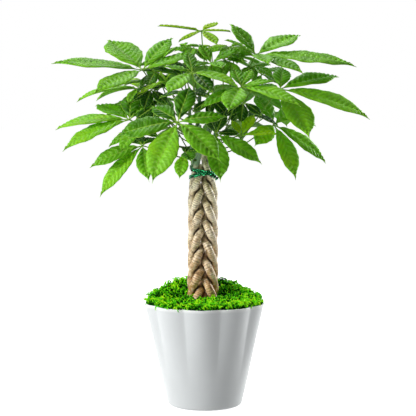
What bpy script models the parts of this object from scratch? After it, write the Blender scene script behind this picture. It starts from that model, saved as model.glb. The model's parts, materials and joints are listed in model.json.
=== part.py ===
"""Potted money tree: seven braided stems and a crown of palmate leaves in a lobed pot.

Metres, +Z up. The origin is the centre of the pot's flat underside, and -Y is the front.
"""
import math
import random

import bmesh
import bpy
import numpy as np
from mathutils import Vector
from mathutils.bvhtree import BVHTree

MM = 0.001
GAP = 0.0003                # clearance between neighbouring pieces
WALL_GAP = 0.0008           # clearance inside the pot's lobed wall

# Pot: a tapered shell with ten soft lobes that fade out towards the base
POT_HEIGHT = 0.130
RIM_RADIUS = 0.0770
BASE_RADIUS = 0.0464
BASE_ROUND = 0.003
POT_WALL = 0.0030
POT_FLOOR = 0.006
INNER_LIP = 0.0012          # the inner wall ends this far below the rim
LOBES = 10
LOBE_DEPTH = 0.0042
GROOVES_FROM = 0.18         # share of the height where the grooves begin
GROOVE_SOFT = 0.01          # rounds the bottom of each groove
GROOVE_AT = math.radians(-90 - 20.8)    # one groove's bearing, left of the front
AROUND = 50

# Soil, with holes for the stems
SOIL_TOP = 0.118
HOLE_SIDES = 10
HOLE_DEPTH = 0.06           # reaches well past the soil's top

# Moss: its height at the wall, and its rise to a mound behind the trunk
MOSS_EDGE = 0.1330
MOSS_RISE = 0.027
MOSS_REACH = 0.0745
MOSS_FRONT = 0.12           # share of the rise at the front
MOSS_BACK_FROM = -0.010
MOSS_BACK_OVER = 0.045
MOSS_LEAN = 2.2             # share of the rise lost for each metre to the right
MOSS_LUMP = 0.0015

# Braid: seven stems, each a seventh of a turn behind the one before
STEMS = 7
TURN = 0.1715               # height of one full turn
BRAID_WIDE = 0.0138
BRAID_DEEP = 0.0115
CROSSING = 0.3              # keeps stems apart where they cross
BRAID_PHASE = math.radians(-9.5)
BRAID_X = -0.0025           # the trunk stands a little left of the pot's middle
BRAID_STEP = 0.0068
BRAID_SLIM = 0.5            # growth in width for each metre down from the tie
PINCH = 0.15                # narrowing below the tie
PINCH_FROM = 0.264
PINCH_OVER = 0.028
FLARE = 0.02                # widening at the foot
FLARE_BELOW = 0.155
FLARE_OVER = 0.03
STEM_RADIUS = 0.0043
STEM_FOOT = 0.070
BRAID_FOOT = SOIL_TOP + 0.004
TIE_Z = 0.2925
BRAID_TOP = 0.303

# Free ends above the braid: x, y and z of each top, in mm
STEM_TOPS = ((-19, 2, 372), (-6, -22, 352), (5, 12, 356), (18, 22, 388), (17, -14, 366),
             (-1, -2, 344), (-6, 24, 398))
FREE_STEPS = 5
FREE_LEAD = 14              # how strongly an end carries on in the braid's direction
FREE_UPRIGHT = 0.02         # length over which an end turns upright
END_TAPER = 0.5

# Wire tie wound twice round the top of the braid, with its two tails twisted together
TIE_RADIUS = 0.0010
TIE_KNOT = math.radians(-62)
TIE_STEPS = 18
TIE_SLANT = 0.0052
TIE_APART = 0.0018
TAIL_WAY = (0.75, 0.35, -0.65)      # sideways, outwards and down
TAIL_OUT = 0.0022
TAIL_STEPS = 10
TAIL_STEP = 0.0012
TAIL_TWIST = 7              # steps in one twist
TAIL_WIDE = 0.00135

# Leaflets: half width at each station along the rib, as a share of the widest
RIB_STATIONS = (0.004, 0.28, 0.54, 0.76, 0.90, 1.0)
RIB_WIDTHS = (0.05, 0.62, 1.0, 0.74, 0.27, 0.0)
RIB_THICK = 0.00085         # half the rib's thickness at the hub
RIB_TAPER = 0.35
FOLD = 0.14                 # rise of the edges over half the width

# Petioles, and what is tried in turn until a leaf has room
PETIOLE_RADIUS = 0.0013
PETIOLE_STEPS = 6
PETIOLE_BEND = 0.30
HUB_LONG = 0.0012
HUB_SWELL = 1.45
HUB_END = 0.8
CLEAR = 0.0005
SWAYS = (0, 3, -3, 6, -6, 9, -9, 12, -12, 16, -16, 20, -20)
SWINGS = (0, -0.08, 0.08, -0.16, 0.16, -0.24, 0.24, -0.32, 0.32, -0.4, 0.4)
SHORTER = (1.0, 0.9, 0.8, 0.7, 0.6)

# Leaves seen in front: name, stem, height of the foot, hub, the way the leaf faces, the arch of its ribs
# as % of their length, and for each leaflet the tip from the hub, in mm, and its width as % of its length
LEAVES = (
    ("left_high", 0, 352, (-78, 5, 421), (0, -3, 10), 1,
     ((-111, -20, 9, 36), (-48, 60, 40, 54), (37, 45, 43, 38), (69, 15, 23, 40), (-56, -60, -28, 42))),
    ("left_thin", 6, 345, (-84, 48, 398), (0, -1, 10), 6,
     ((-79, -20, -15, 36), (-59, 40, -15, 38), (-25, 60, 10, 40), (-13, -35, -20, 38))),
    ("left_mid", 0, 325, (-94, -5, 359), (0, -3, 10), 6,
     ((-46, 45, 18, 50), (-93, 5, -10, 40), (-81, -30, -36, 40), (33, 40, 24, 42), (1, 45, 36, 44))),
    ("front_centre", 1, 330, (-32, -75, 357), (0, -7, 8), 5,
     ((-74, -5, -15, 44), (-30, -35, -70, 44), (52, -35, -45, 42), (59, 5, 7, 36), (14, 40, 38, 44),
      (-34, 30, 18, 46))),
    ("left_low", 0, 312, (-77, -20, 327), (-1, -6, 8), 5,
     ((-65, -10, -26, 38), (-52, -20, -62, 29), (10, -45, -41, 36), (12, 48, 7, 40), (-16, 50, 6, 40))),
    ("left_under", 1, 322, (-81, -42, 348), (-2, -5, 8), 4,
     ((-36, -10, -21, 36), (-20, -30, -27, 44), (26, -8, -10, 40), (14, 22, 12, 40))),
    ("low_left", 1, 309, (-25, -28, 318), (0, -6, 8), 4,
     ((-6, -28, -30, 42), (9, -40, -8, 42), (23, -15, 4, 42), (3, 20, 13, 42))),
    ("low_right", 4, 314, (14, -45, 342), (1, -7, 8), 3,
     ((5, -35, -56, 40), (55, -25, -35, 36), (39, 12, 10, 38), (15, 30, 27, 40), (-8, 35, 17, 40))),
    ("right_low", 3, 318, (87, 15, 352), (3, -6, 8), 6,
     ((-26, -40, -25, 48), (27, -20, -68, 38), (67, 5, -48, 32), (36, 40, 23, 40), (-24, 40, 38, 40))),
    ("right_mid", 4, 324, (93, -15, 397), (1, -4, 10), 5,
     ((33, -55, -60, 44), (111, -10, -34, 39), (76, 35, 16, 42), (6, 45, 27, 44), (-29, 28, 3, 44))),
    ("right_high", 3, 372, (64, 10, 440), (1, -3, 10), 1,
     ((14, -60, -13, 40), (56, -55, -23, 38), (125, -10, -12, 40), (58, 35, 26, 50), (-32, 20, 40, 50),
      (-39, -28, 18, 36))),
    ("front_right", 4, 340, (44, -65, 399), (0, -4, 9), 4,
     ((-50, -15, -26, 38), (-17, -50, -29, 50), (69, -35, -22, 34), (39, -8, 7, 38), (14, 28, 22, 40),
      (-10, 28, 23, 40))),
    ("front_top", 1, 346, (-15, -55, 416), (0, -3, 9), 4,
     ((-30, -40, -25, 46), (25, -35, -25, 42), (56, -25, -17, 36), (49, 5, -8, 42), (-7, 30, 26, 42),
      (-34, 12, 8, 36))),
    ("top_centre", 4, 360, (8, -15, 428), (0, -3, 9), 4,
     ((-31, -15, -4, 44), (13, -40, -6, 44), (36, 10, 18, 42), (-15, 20, 25, 42))),
    ("top_small", 6, 392, (-4, 20, 470), (0, -1, 10), 1,
     ((-55, -8, 6, 24), (-29, -30, -15, 26), (20, -35, -19, 38), (37, -5, -1, 26), (21, 35, 12, 36))),
    ("top_young", 3, 384, (8, 45, 451), (0, -2, 9), 3,
     ((-8, -20, -13, 42), (12, -20, -4, 42), (21, 10, 1, 42), (-14, 5, 1, 42))),
    ("right_yellow", 4, 336, (45, -32, 340), (0, -4, 9), 3,
     ((44, -12, 2, 40), (17, 20, 26, 42), (-14, 15, 15, 42))),
    ("inner_left", 6, 368, (-27, 15, 412), (0, -3, 9), 2,
     ((-45, 5, 5, 42), (-29, -10, -19, 44), (-15, 35, 25, 42), (21, 30, 14, 42))),
    ("young_left", 0, 366, (-48, -15, 407), (0, -3, 9), 2,
     ((-36, -10, -18, 26), (-8, -5, 11, 44), (6, -5, 8, 44))),
    ("inner_right", 3, 358, (73, 40, 416), (0, -2, 9), 2,
     ((-52, -20, 15, 40), (-16, -20, -23, 44), (21, -15, -13, 42), (28, 25, 9, 42), (-14, 40, 19, 42))),
    ("inner_top", 3, 382, (32, 16, 450), (0, -4, 9), 3,
     ((-30, -18, -8, 42), (-10, -28, -18, 46), (16, -26, -20, 44), (28, -8, -8, 40), (16, 22, 4, 42))),
    ("inner_above", 2, 350, (25, -2, 433), (0, -5, 9), 3,
     ((-24, -14, -14, 44), (-4, -26, -24, 46), (20, -20, -24, 44), (28, 4, -2, 40))),
    ("inner_left_high", 0, 358, (-62, 14, 418), (0, -5, 9), 3,
     ((-26, -14, -14, 42), (-8, -24, -26, 46), (20, -20, -18, 44), (22, 14, 2, 40), (-20, 20, 4, 40))),
    ("inner_left_mid", 0, 340, (-67, 4, 396), (0, -5, 8), 3,
     ((-24, -12, -16, 42), (-8, -22, -26, 46), (20, -18, -24, 44), (12, 22, 4, 40))),
    ("inner_left_low", 1, 336, (-62, -12, 374), (0, -6, 8), 3,
     ((-24, -12, -16, 44), (-2, -22, -26, 46), (22, -10, -14, 42), (-4, 22, 8, 40))),
    ("inner_mid", 5, 338, (8, -6, 384), (0, -6, 8), 3,
     ((-24, -12, -16, 44), (-4, -20, -28, 46), (20, -14, -22, 44), (26, 8, -2, 40), (-14, 20, 8, 40))),
    ("inner_right_mid", 4, 330, (48, -6, 380), (0, -6, 8), 3,
     ((-24, -10, -18, 44), (-4, -18, -26, 46), (22, -12, -18, 44))),
    ("inner_right_high", 3, 376, (62, 22, 426), (0, -5, 9), 3,
     ((-26, -12, -8, 44), (-4, -26, -16, 46), (24, -16, -14, 44), (22, 16, 2, 40))),
    ("inner_top_left", 6, 388, (-14, 4, 448), (0, -4, 9), 3,
     ((-24, -12, -4, 44), (-6, -26, -14, 46), (18, -18, -14, 44))),
)

# Leaves inside the crown and behind it, as even fans: name, stem, height of the foot, hub,
# outward bearing, leaflets, and reach in mm
FANS = (
    ("inner_front", 0, 362, (-20, -28, 392), 250, 5, 42),
    ("inner_low", 3, 344, (46, 14, 366), -40, 6, 50),
    ("inner_far_left", 6, 372, (-56, 34, 402), 165, 5, 52),
    ("top_left", 6, 386, (-28, 36, 450), 150, 5, 46),
    ("top_right", 3, 380, (38, 38, 438), 20, 5, 48),
    ("back_left", 6, 330, (-72, 72, 380), 135, 6, 74),
    ("back_middle", 6, 382, (-18, 72, 420), 100, 6, 72),
    ("back_right", 3, 350, (48, 74, 396), 62, 6, 76),
    ("back_far_right", 3, 335, (86, 62, 366), 35, 6, 66),
    ("back_low_left", 6, 316, (-38, 66, 346), 115, 5, 66),
    ("back_low_right", 3, 326, (32, 68, 350), 75, 5, 66),
    ("back_top", 6, 378, (-46, 66, 430), 125, 5, 52),
)
FAN_ARCH = 0.08
FAN_BREADTH = 0.42
FAN_LEAN = 0.3              # how far a fan faces outwards
FAN_OPEN = 0.6              # gap at the back of a fan, in leaflets
FAN_UNEVEN = 0.28           # shortening towards the back
FAN_TILT = 0.26
FAN_DROOP = 0.10
FAN_JITTER = 0.08
FAN_SEED = 40


def new_collection(name):
    collection = bpy.data.collections.new(name)
    bpy.context.scene.collection.children.link(collection)
    return collection


def new_material(name, color, roughness, metallic=0.0):
    material = bpy.data.materials.new(name)
    material.use_nodes = True
    shader = material.node_tree.nodes["Principled BSDF"]
    shader.inputs["Base Color"].default_value = (*color, 1.0)
    shader.inputs["Roughness"].default_value = roughness
    shader.inputs["Metallic"].default_value = metallic
    return material


def new_object(name, mesh, collection, material=None):
    obj = bpy.data.objects.new(name, mesh)
    collection.objects.link(obj)
    if material:
        mesh.materials.clear()
        mesh.materials.append(material)
    return obj


def mesh_from(name, points, faces):
    mesh = bpy.data.meshes.new(name)
    mesh.from_pydata(points, [], faces)
    mesh.update()
    return mesh


def shade(mesh, angle=40):
    mesh.shade_smooth()
    mesh.set_sharp_from_angle(angle=math.radians(angle))


def smoothstep(value):
    value = min(max(value, 0.0), 1.0)
    return value * value * (3 - 2 * value)


def bearing(index):
    return 2 * math.pi * index / AROUND + GROOVE_AT


def ring_faces(rings, closed=False):
    """Quads that join each ring of AROUND points to the next."""
    faces = []
    for level in range(rings if closed else rings - 1):
        low = level * AROUND
        high = (level + 1) % rings * AROUND
        for i in range(AROUND):
            j = (i + 1) % AROUND
            faces.append((low + i, low + j, high + j, high + i))
    return faces


def pot_radius(angle, z):
    """Outer radius: a straight taper less the grooves, which deepen towards the rim."""
    share = z / POT_HEIGHT
    radius = BASE_RADIUS + (RIM_RADIUS - BASE_RADIUS) * share
    wave = math.sin(LOBES / 2 * (angle - GROOVE_AT)) ** 2
    groove = 1 - math.sqrt((wave + GROOVE_SOFT) / (1 + GROOVE_SOFT))
    depth = LOBE_DEPTH * smoothstep((share - GROOVES_FROM) / (1 - GROOVES_FROM))
    return radius - depth * groove


def pot_ring(z, inset):
    ring = []
    for i in range(AROUND):
        radius = pot_radius(bearing(i), z) - inset
        ring.append((radius * math.cos(bearing(i)), radius * math.sin(bearing(i)), z))
    return ring


def inner_levels():
    top = POT_HEIGHT - INNER_LIP
    return [POT_FLOOR + (top - POT_FLOOR) * k / 4 for k in range(5)]


def filling_ring(z):
    """Just inside the pot's inner wall, which runs straight from level to level."""
    levels = inner_levels()
    k = min(max(sum(level < z for level in levels), 1), len(levels) - 1)
    share = (z - levels[k - 1]) / (levels[k] - levels[k - 1])
    low = pot_ring(levels[k - 1], POT_WALL + WALL_GAP)
    high = pot_ring(levels[k], POT_WALL + WALL_GAP)
    return [tuple(a + (b - a) * share for a, b in zip(p, q)) for p, q in zip(low, high)]


def build_pot(collection):
    sections = [pot_ring(0.0, BASE_ROUND)]
    for k in (1, 2, 3):
        turn = math.pi / 6 * k
        inset = BASE_ROUND * (1 - math.sin(turn))
        sections.append(pot_ring(BASE_ROUND * (1 - math.cos(turn)), inset))
    for share in (0.25, 0.45, 0.63, 0.81, 0.99):
        sections.append(pot_ring(POT_HEIGHT * share, 0.0))
    sections.append(pot_ring(POT_HEIGHT, POT_WALL * 0.3))
    sections.append(pot_ring(POT_HEIGHT, POT_WALL * 0.7))
    for z in reversed(inner_levels()):
        sections.append(pot_ring(z, POT_WALL))
    points = [point for ring in sections for point in ring]
    last = len(points) - AROUND
    faces = ring_faces(len(sections))
    faces.append(tuple(reversed(range(AROUND))))
    faces.append(tuple(range(last, last + AROUND)))
    mesh = mesh_from("pot", points, faces)
    shade(mesh)
    material = new_material("pot_white", (0.72, 0.74, 0.73), 0.35)
    return new_object("pot", mesh, collection, material)


def braid_scale(z):
    """The trunk slims upward, and the tie pinches its top."""
    return 1 + BRAID_SLIM * (TIE_Z - z) - PINCH * smoothstep((z - PINCH_FROM) / PINCH_OVER)


def braid_point(stem, z):
    """A flat plait seen from the front: one swing across for every two swings in depth."""
    turn = 2 * math.pi * (z / TURN + stem / STEMS) + BRAID_PHASE
    size = braid_scale(z) * (1 + FLARE * smoothstep((FLARE_BELOW - z) / FLARE_OVER))
    x = size * BRAID_WIDE * math.sin(turn)
    y = size * BRAID_DEEP * (math.sin(2 * turn) + CROSSING * math.sin(4 * turn))
    return Vector((BRAID_X + x, y, z))


def stem_radius(z, top):
    """Follows the braid, then tapers along the green free end."""
    thick = STEM_RADIUS * braid_scale(min(max(z, SOIL_TOP), BRAID_TOP))
    if z > BRAID_TOP:
        thick *= 1 - END_TAPER * (z - BRAID_TOP) / (top - BRAID_TOP)
    return thick


def cubic(start, first, second, end, s):
    """A point on the cubic curve that the four points steer."""
    r = 1 - s
    return start * r ** 3 + first * (3 * s * r * r) + second * (3 * s * s * r) + end * s ** 3


def stem_path(stem):
    """Straight in the soil, braided up to the tie, then a free end that leans out."""
    points = [braid_point(stem, BRAID_FOOT)]
    points.insert(0, Vector((points[0].x, points[0].y, STEM_FOOT)))
    rise = BRAID_TOP - BRAID_FOOT
    count = round(rise / BRAID_STEP)
    for k in range(1, count + 1):
        points.append(braid_point(stem, BRAID_FOOT + rise * k / count))
    start = points[-1]
    top = Vector(STEM_TOPS[stem]) * MM
    first = start + (braid_point(stem, BRAID_TOP + MM) - start) * FREE_LEAD
    second = top - Vector((0, 0, FREE_UPRIGHT))
    for k in range(1, FREE_STEPS + 1):
        points.append(cubic(start, first, second, top, k / FREE_STEPS))
    return points


def tube(name, points, radii, resolution=1):
    """A round tube through the points, as a closed mesh."""
    curve = bpy.data.curves.new(name, "CURVE")
    curve.dimensions = "3D"
    curve.bevel_depth = 1.0
    curve.bevel_resolution = resolution
    curve.use_fill_caps = True
    spline = curve.splines.new("POLY")
    spline.points.add(len(points) - 1)
    for item, point, radius in zip(spline.points, points, radii):
        item.co = (*point, 1.0)
        item.radius = radius
    holder = bpy.data.objects.new(name, curve)
    bpy.context.scene.collection.objects.link(holder)
    graph = bpy.context.evaluated_depsgraph_get()
    mesh = bpy.data.meshes.new_from_object(holder.evaluated_get(graph))
    bpy.data.objects.remove(holder)
    work = bmesh.new()
    work.from_mesh(mesh)
    bmesh.ops.remove_doubles(work, verts=work.verts, dist=0.00001)
    bmesh.ops.recalc_face_normals(work, faces=work.faces)
    work.to_mesh(mesh)
    work.free()
    mesh.name = name
    return mesh


def build_stems(collection):
    meshes = []
    for stem in range(STEMS):
        points = stem_path(stem)
        radii = [stem_radius(p.z, points[-1].z) for p in points]
        name = f"stem_{stem + 1}"
        mesh = tube(name, points, radii, 2)
        shade(mesh, 60)
        material = new_material(f"bark_{stem + 1}", (0.36, 0.25, 0.14), 0.75)
        new_object(name, mesh, collection, material)
        meshes.append(mesh)
    return meshes


def build_soil(collection, cutters):
    """Fills the pot to below the rim, with a plain hole for each stem."""
    sections = [filling_ring(z) for z in [POT_FLOOR + GAP] + inner_levels()[1:-1] + [SOIL_TOP]]
    points = [point for ring in sections for point in ring]
    last = len(points) - AROUND
    faces = ring_faces(len(sections))
    faces.append(tuple(reversed(range(AROUND))))
    faces.append(tuple(range(last, last + AROUND)))
    mesh = mesh_from("soil", points, faces)
    material = new_material("potting_soil", (0.05, 0.03, 0.02), 0.95)
    soil = new_object("soil", mesh, collection, material)
    for stem in range(STEMS):
        foot = stem_path(stem)[0]
        work = bmesh.new()
        wide = stem_radius(SOIL_TOP, 1.0) / math.cos(math.pi / HOLE_SIDES) + GAP
        bmesh.ops.create_cone(work, cap_ends=True, segments=HOLE_SIDES, depth=HOLE_DEPTH,
                              radius1=wide, radius2=wide)
        hole = bpy.data.meshes.new(f"stem_hole_{stem + 1}")
        work.to_mesh(hole)
        work.free()
        cutter = new_object(hole.name, hole, cutters)
        cutter.location = (foot.x, foot.y, STEM_FOOT - GAP + HOLE_DEPTH / 2)
        cutter.hide_render = True
        cutter.display_type = "WIRE"
        cut = soil.modifiers.new(hole.name, "BOOLEAN")
        cut.operation = "DIFFERENCE"
        cut.object = cutter
    return soil


def moss_height(x, y):
    """Nearly level in front and a mound behind the trunk, with lumps."""
    spread = max(0.0, 1 - (x * x + y * y) / MOSS_REACH ** 2)
    back = smoothstep((y - MOSS_BACK_FROM) / MOSS_BACK_OVER)
    rise = MOSS_RISE * (MOSS_FRONT + (1 - MOSS_FRONT) * back) * spread * (1 - MOSS_LEAN * x)
    # two crossed waves, with crests about 20 mm and 12 mm apart
    lumps = math.sin(x * 310 + 1.3) * math.sin(y * 290) + 0.8 * math.sin(x * 170 - y * 520)
    return MOSS_EDGE + rise + MOSS_LUMP * lumps * (0.35 + 0.65 * spread)


def moss_hole(angle):
    """How far from the pot's axis the braid reaches in one direction, where the moss lies."""
    reach = 0.0
    z = SOIL_TOP
    while z < MOSS_EDGE + MOSS_RISE:
        for stem in range(STEMS):
            point = braid_point(stem, z)
            reach = max(reach, point.x * math.cos(angle) + point.y * math.sin(angle))
        z += 2 * MM
    return reach + stem_radius(SOIL_TOP, 1.0) + GAP


def build_moss(collection):
    low = SOIL_TOP + GAP
    rings = [filling_ring(low), filling_ring(POT_HEIGHT)]
    for share in (0.96, 0.84, 0.68, 0.51, 0.34, 0.17, 0.0):
        ring = []
        for i, edge in enumerate(rings[1]):
            hole = moss_hole(bearing(i))
            reach = hole + (math.hypot(edge[0], edge[1]) - hole) * share
            x = reach * math.cos(bearing(i))
            y = reach * math.sin(bearing(i))
            ring.append((x, y, moss_height(x, y)))
        rings.append(ring)
    rings.append([(x, y, low) for x, y, _ in rings[-1]])
    points = [point for ring in rings for point in ring]
    mesh = mesh_from("moss", points, ring_faces(len(rings), closed=True))
    shade(mesh, 80)
    material = new_material("moss_green", (0.16, 0.48, 0.01), 0.9)
    return new_object("moss", mesh, collection, material)


def tie_reach(angle, z):
    """How far the stems stand out from the trunk's axis in one direction, at the tie."""
    reach = 0.0
    for stem in range(STEMS):
        for k in range(-3, 4):
            point = braid_point(stem, z + k * MM)
            reach = max(reach, (point.x - BRAID_X) * math.cos(angle) + point.y * math.sin(angle))
    return reach + stem_radius(z - 3 * MM, 1.0) + TIE_RADIUS + GAP


def tie_path():
    """Two slanted turns round the trunk, with both ends twisted together at the knot."""
    rounds = []
    for k in range(1, 2 * TIE_STEPS):
        turn = 2 * math.pi * k / TIE_STEPS
        slant = TIE_SLANT * math.sin(turn / 2) ** 2
        z = TIE_Z + TIE_APART * math.cos(turn / 4) + (slant if k <= TIE_STEPS else -slant)
        angle = TIE_KNOT - turn
        reach = tie_reach(angle, z)
        rounds.append(Vector((BRAID_X + reach * math.cos(angle), reach * math.sin(angle), z)))
    out = Vector((math.cos(TIE_KNOT), math.sin(TIE_KNOT), 0))
    side = Vector((-out.y, out.x, 0))
    heart = (rounds[0] + rounds[-1]) / 2 + out * TAIL_OUT
    way = (side * TAIL_WAY[0] + out * TAIL_WAY[1] + Vector((0, 0, TAIL_WAY[2]))).normalized()
    across = way.cross(out).normalized()
    over = way.cross(across).normalized()
    tails = ([], [])
    for k in range(1, TAIL_STEPS + 1):
        for which, tail in enumerate(tails):
            spin = 2 * math.pi * (k / TAIL_TWIST + which / 2)
            turn = (across * math.cos(spin) + over * math.sin(spin)) * TAIL_WIDE
            tail.append(heart + way * (TAIL_STEP * k) + turn)
    return tails[0][::-1] + rounds + tails[1]


def build_tie(collection):
    points = tie_path()
    mesh = tube("tie", points, [TIE_RADIUS] * len(points), 1)
    shade(mesh, 60)
    material = new_material("tie_green", (0.0, 0.16, 0.09), 0.25, 0.9)
    return new_object("tie", mesh, collection, material)


def fan_tips(outward, count, reach, seed):
    """Leaflets fanned round the leaf's middle, longest outwards and drooping at the tips."""
    draw = random.Random(seed)
    tips = []
    for k in range(count):
        turn = 2 * math.pi * (k - (count - 1) / 2) / (count + FAN_OPEN)
        turn += draw.uniform(-FAN_JITTER, FAN_JITTER)
        length = reach * (1 - FAN_UNEVEN * (1 - math.cos(turn))) * draw.uniform(0.94, 1.06)
        fall = -FAN_TILT * math.cos(turn) - FAN_DROOP + draw.uniform(-FAN_JITTER, FAN_JITTER)
        level = math.sqrt(1 - fall * fall)
        heading = outward + turn
        tips.append(Vector((level * math.cos(heading), level * math.sin(heading), fall)) * length)
    return tips


def all_leaves():
    """Name, stem, foot, hub, facing and leaflets of every leaf, in metres."""
    leaves = []
    for name, stem, foot, hub, face, arch, tips in LEAVES:
        blades = [(Vector(tip[:3]) * MM, tip[3] / 100, arch / 100) for tip in tips]
        leaves.append((name, stem, foot * MM, Vector(hub) * MM, Vector(face).normalized(), blades))
    for k, (name, stem, foot, hub, outward, count, reach) in enumerate(FANS):
        outward = math.radians(outward)
        face = Vector((FAN_LEAN * math.cos(outward), FAN_LEAN * math.sin(outward), 1)).normalized()
        tips = fan_tips(outward, count, reach * MM, FAN_SEED + k)
        blades = [(tip, FAN_BREADTH, FAN_ARCH) for tip in tips]
        leaves.append((name, stem, foot * MM, Vector(hub) * MM, face, blades))
    return leaves


def leaflet(hub, tip, breadth, arch, face, extra=0.0):
    """An arched blade, folded up along its rib: points and triangles, alike on both faces."""
    length = tip.length
    chord = tip / length
    lift = (face - chord * face.dot(chord)).normalized()
    points = []
    for station, share in zip(RIB_STATIONS, RIB_WIDTHS):
        middle = hub + tip * station + lift * (4 * arch * length * station * (1 - station))
        along = (chord + lift * (4 * arch * (1 - 2 * station))).normalized()
        side = along.cross(lift).normalized()
        up = side.cross(along)
        half = share * breadth * length / 2
        if half == 0:
            points.append(middle + along * extra)
            continue
        thick = RIB_THICK * (1 - RIB_TAPER * station) + extra
        edge = up * (FOLD * half)
        wide = side * (half + extra)
        points += [middle - wide + edge, middle + up * thick, middle + wide + edge, middle - up * thick]
    faces = [(0, 2, 1), (0, 3, 2)]
    for low in range(0, len(points) - 5, 4):
        for k, flip in ((0, False), (1, True), (2, False), (3, True)):
            a, b = low + k, low + (k + 1) % 4
            c, d = b + 4, a + 4
            faces += [(a, c, d), (a, b, c)] if flip else [(a, b, d), (b, c, d)]
    tip_at = len(points) - 1
    for k in range(4):
        faces.append((tip_at - 4 + k, tip_at - 4 + (k + 1) % 4, tip_at))
    return points, faces


def stem_at(stem, z):
    """The stem's centre, direction and radius at a height."""
    points = stem_path(stem)
    for low, high in zip(points, points[1:]):
        if low.z <= z <= high.z:
            share = (z - low.z) / (high.z - low.z)
            return low.lerp(high, share), (high - low).normalized(), stem_radius(z, points[-1].z)
    raise ValueError("height is off the stem")


def petiole_path(stem, foot, hub, sway):
    """From the stem's side, out and up to the hub where the leaflets meet."""
    centre, along, radius = stem_at(stem, foot)
    away = Vector((hub.x - centre.x, hub.y - centre.y, 0)).normalized()
    out = (away - along * away.dot(along)).normalized()
    start = centre + out * (radius + 2 * GAP)
    reach = (hub - start).length * PETIOLE_BEND
    side = Vector((-away.y, away.x, 0)) * sway
    first = start + out * reach + side
    second = hub - (hub - start).normalized() * reach + side * 0.6
    points = [cubic(start, first, second, hub, k / PETIOLE_STEPS) for k in range(PETIOLE_STEPS + 1)]
    points.append(hub + (points[-1] - points[-2]).normalized() * HUB_LONG)
    return points


def petiole_radii(count):
    """Slender, with a small swelling at the hub."""
    radii = [PETIOLE_RADIUS * (1.1 - 0.2 * k / count) for k in range(count - 2)]
    return radii + [PETIOLE_RADIUS * HUB_SWELL, PETIOLE_RADIUS * HUB_END]


class Room:
    """Shapes placed so far, for keeping the next one clear of other nodes."""

    def __init__(self):
        self.shapes = []

    def add(self, owner, points, faces):
        grid = np.array([tuple(p) for p in points])
        tree = BVHTree.FromPolygons([tuple(p) for p in points], faces)
        self.shapes.append((owner, tree, grid.min(axis=0), grid.max(axis=0)))

    def crossings(self, owner, points, faces):
        grid = np.array([tuple(p) for p in points])
        low, high = grid.min(axis=0), grid.max(axis=0)
        tree = BVHTree.FromPolygons([tuple(p) for p in points], faces)
        found = []
        for other, shape, floor, roof in self.shapes:
            if other == owner or (low > roof).any() or (high < floor).any():
                continue
            if tree.overlap(shape):
                found.append(other)
        return found


def mesh_shape(mesh):
    return [v.co.copy() for v in mesh.vertices], [tuple(p.vertices) for p in mesh.polygons]


def clear_petiole(room, name, stem, foot, hub):
    """The straightest petiole that passes clear of the stems and the other petioles."""
    for sway in SWAYS:
        points = petiole_path(stem, foot, hub, sway * MM)
        radii = petiole_radii(len(points))
        trial = tube("trial", points, [r + GAP for r in radii], 0)
        found = room.crossings(name, *mesh_shape(trial))
        bpy.data.meshes.remove(trial)
        if not found:
            mesh = tube(name, points, radii, 0)
            room.add(name, *mesh_shape(mesh))
            return mesh
    raise ValueError(f"the petiole of {name} crosses {found}")


def clear_leaflet(room, name, hub, blade, face):
    """The leaflet, raised, lowered or shortened by the least that keeps it clear."""
    tip, breadth, arch = blade
    for shorter in SHORTER:
        for swing in SWINGS:
            moved = tip + face * (swing * tip.length)
            moved *= tip.length * shorter / moved.length
            if not room.crossings(name, *leaflet(hub, moved, breadth, arch, face, CLEAR)):
                return moved, breadth, arch
    raise ValueError(f"a leaflet of {name} has no room")


def join(mesh, pieces, name):
    """One Boolean union of the pieces with the mesh."""
    parts = bpy.data.collections.new(name + "_leaflets")
    bpy.context.scene.collection.children.link(parts)
    for k, (points, faces) in enumerate(pieces):
        new_object(f"{name}_{k}", mesh_from(f"{name}_{k}", points, faces), parts)
    base = bpy.data.objects.new(name + "_base", mesh)
    bpy.context.scene.collection.objects.link(base)
    union = base.modifiers.new("union", "BOOLEAN")
    union.operation = "UNION"
    union.operand_type = "COLLECTION"
    union.collection = parts
    graph = bpy.context.evaluated_depsgraph_get()
    joined = bpy.data.meshes.new_from_object(base.evaluated_get(graph))
    for obj in list(parts.objects) + [base]:
        bpy.data.objects.remove(obj)
    bpy.data.collections.remove(parts)
    joined.name = name
    return joined


def build_leaves(collection, stems):
    """All petioles are placed first, and then the leaflets, leaf by leaf."""
    room = Room()
    for k, mesh in enumerate(stems):
        room.add(f"stem_{k + 1}", *mesh_shape(mesh))
    leaves = []
    for name, stem, foot, hub, face, blades in all_leaves():
        leaves.append((name, hub, face, blades, clear_petiole(room, name, stem, foot, hub)))
    for name, hub, face, blades, mesh in leaves:
        pieces = []
        for blade in blades:
            pieces.append(leaflet(hub, *clear_leaflet(room, name, hub, blade, face), face))
            room.add(name, *pieces[-1])
        joined = join(mesh, pieces, "leaf_" + name)
        material = new_material("green_" + name, (0.10, 0.33, 0.04), 0.35)
        new_object("leaf_" + name, joined, collection, material)


def main():
    for obj in list(bpy.data.objects):
        bpy.data.objects.remove(obj)
    tree = new_collection("money_tree")
    cutters = new_collection("cutters")
    build_pot(tree)
    build_soil(tree, cutters)
    build_moss(tree)
    stems = build_stems(tree)
    build_tie(tree)
    build_leaves(tree, stems)


main()
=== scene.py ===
import json
import math
import random

import bmesh
import bpy
import numpy as np
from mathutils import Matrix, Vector, noise
from mathutils.kdtree import KDTree

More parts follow.
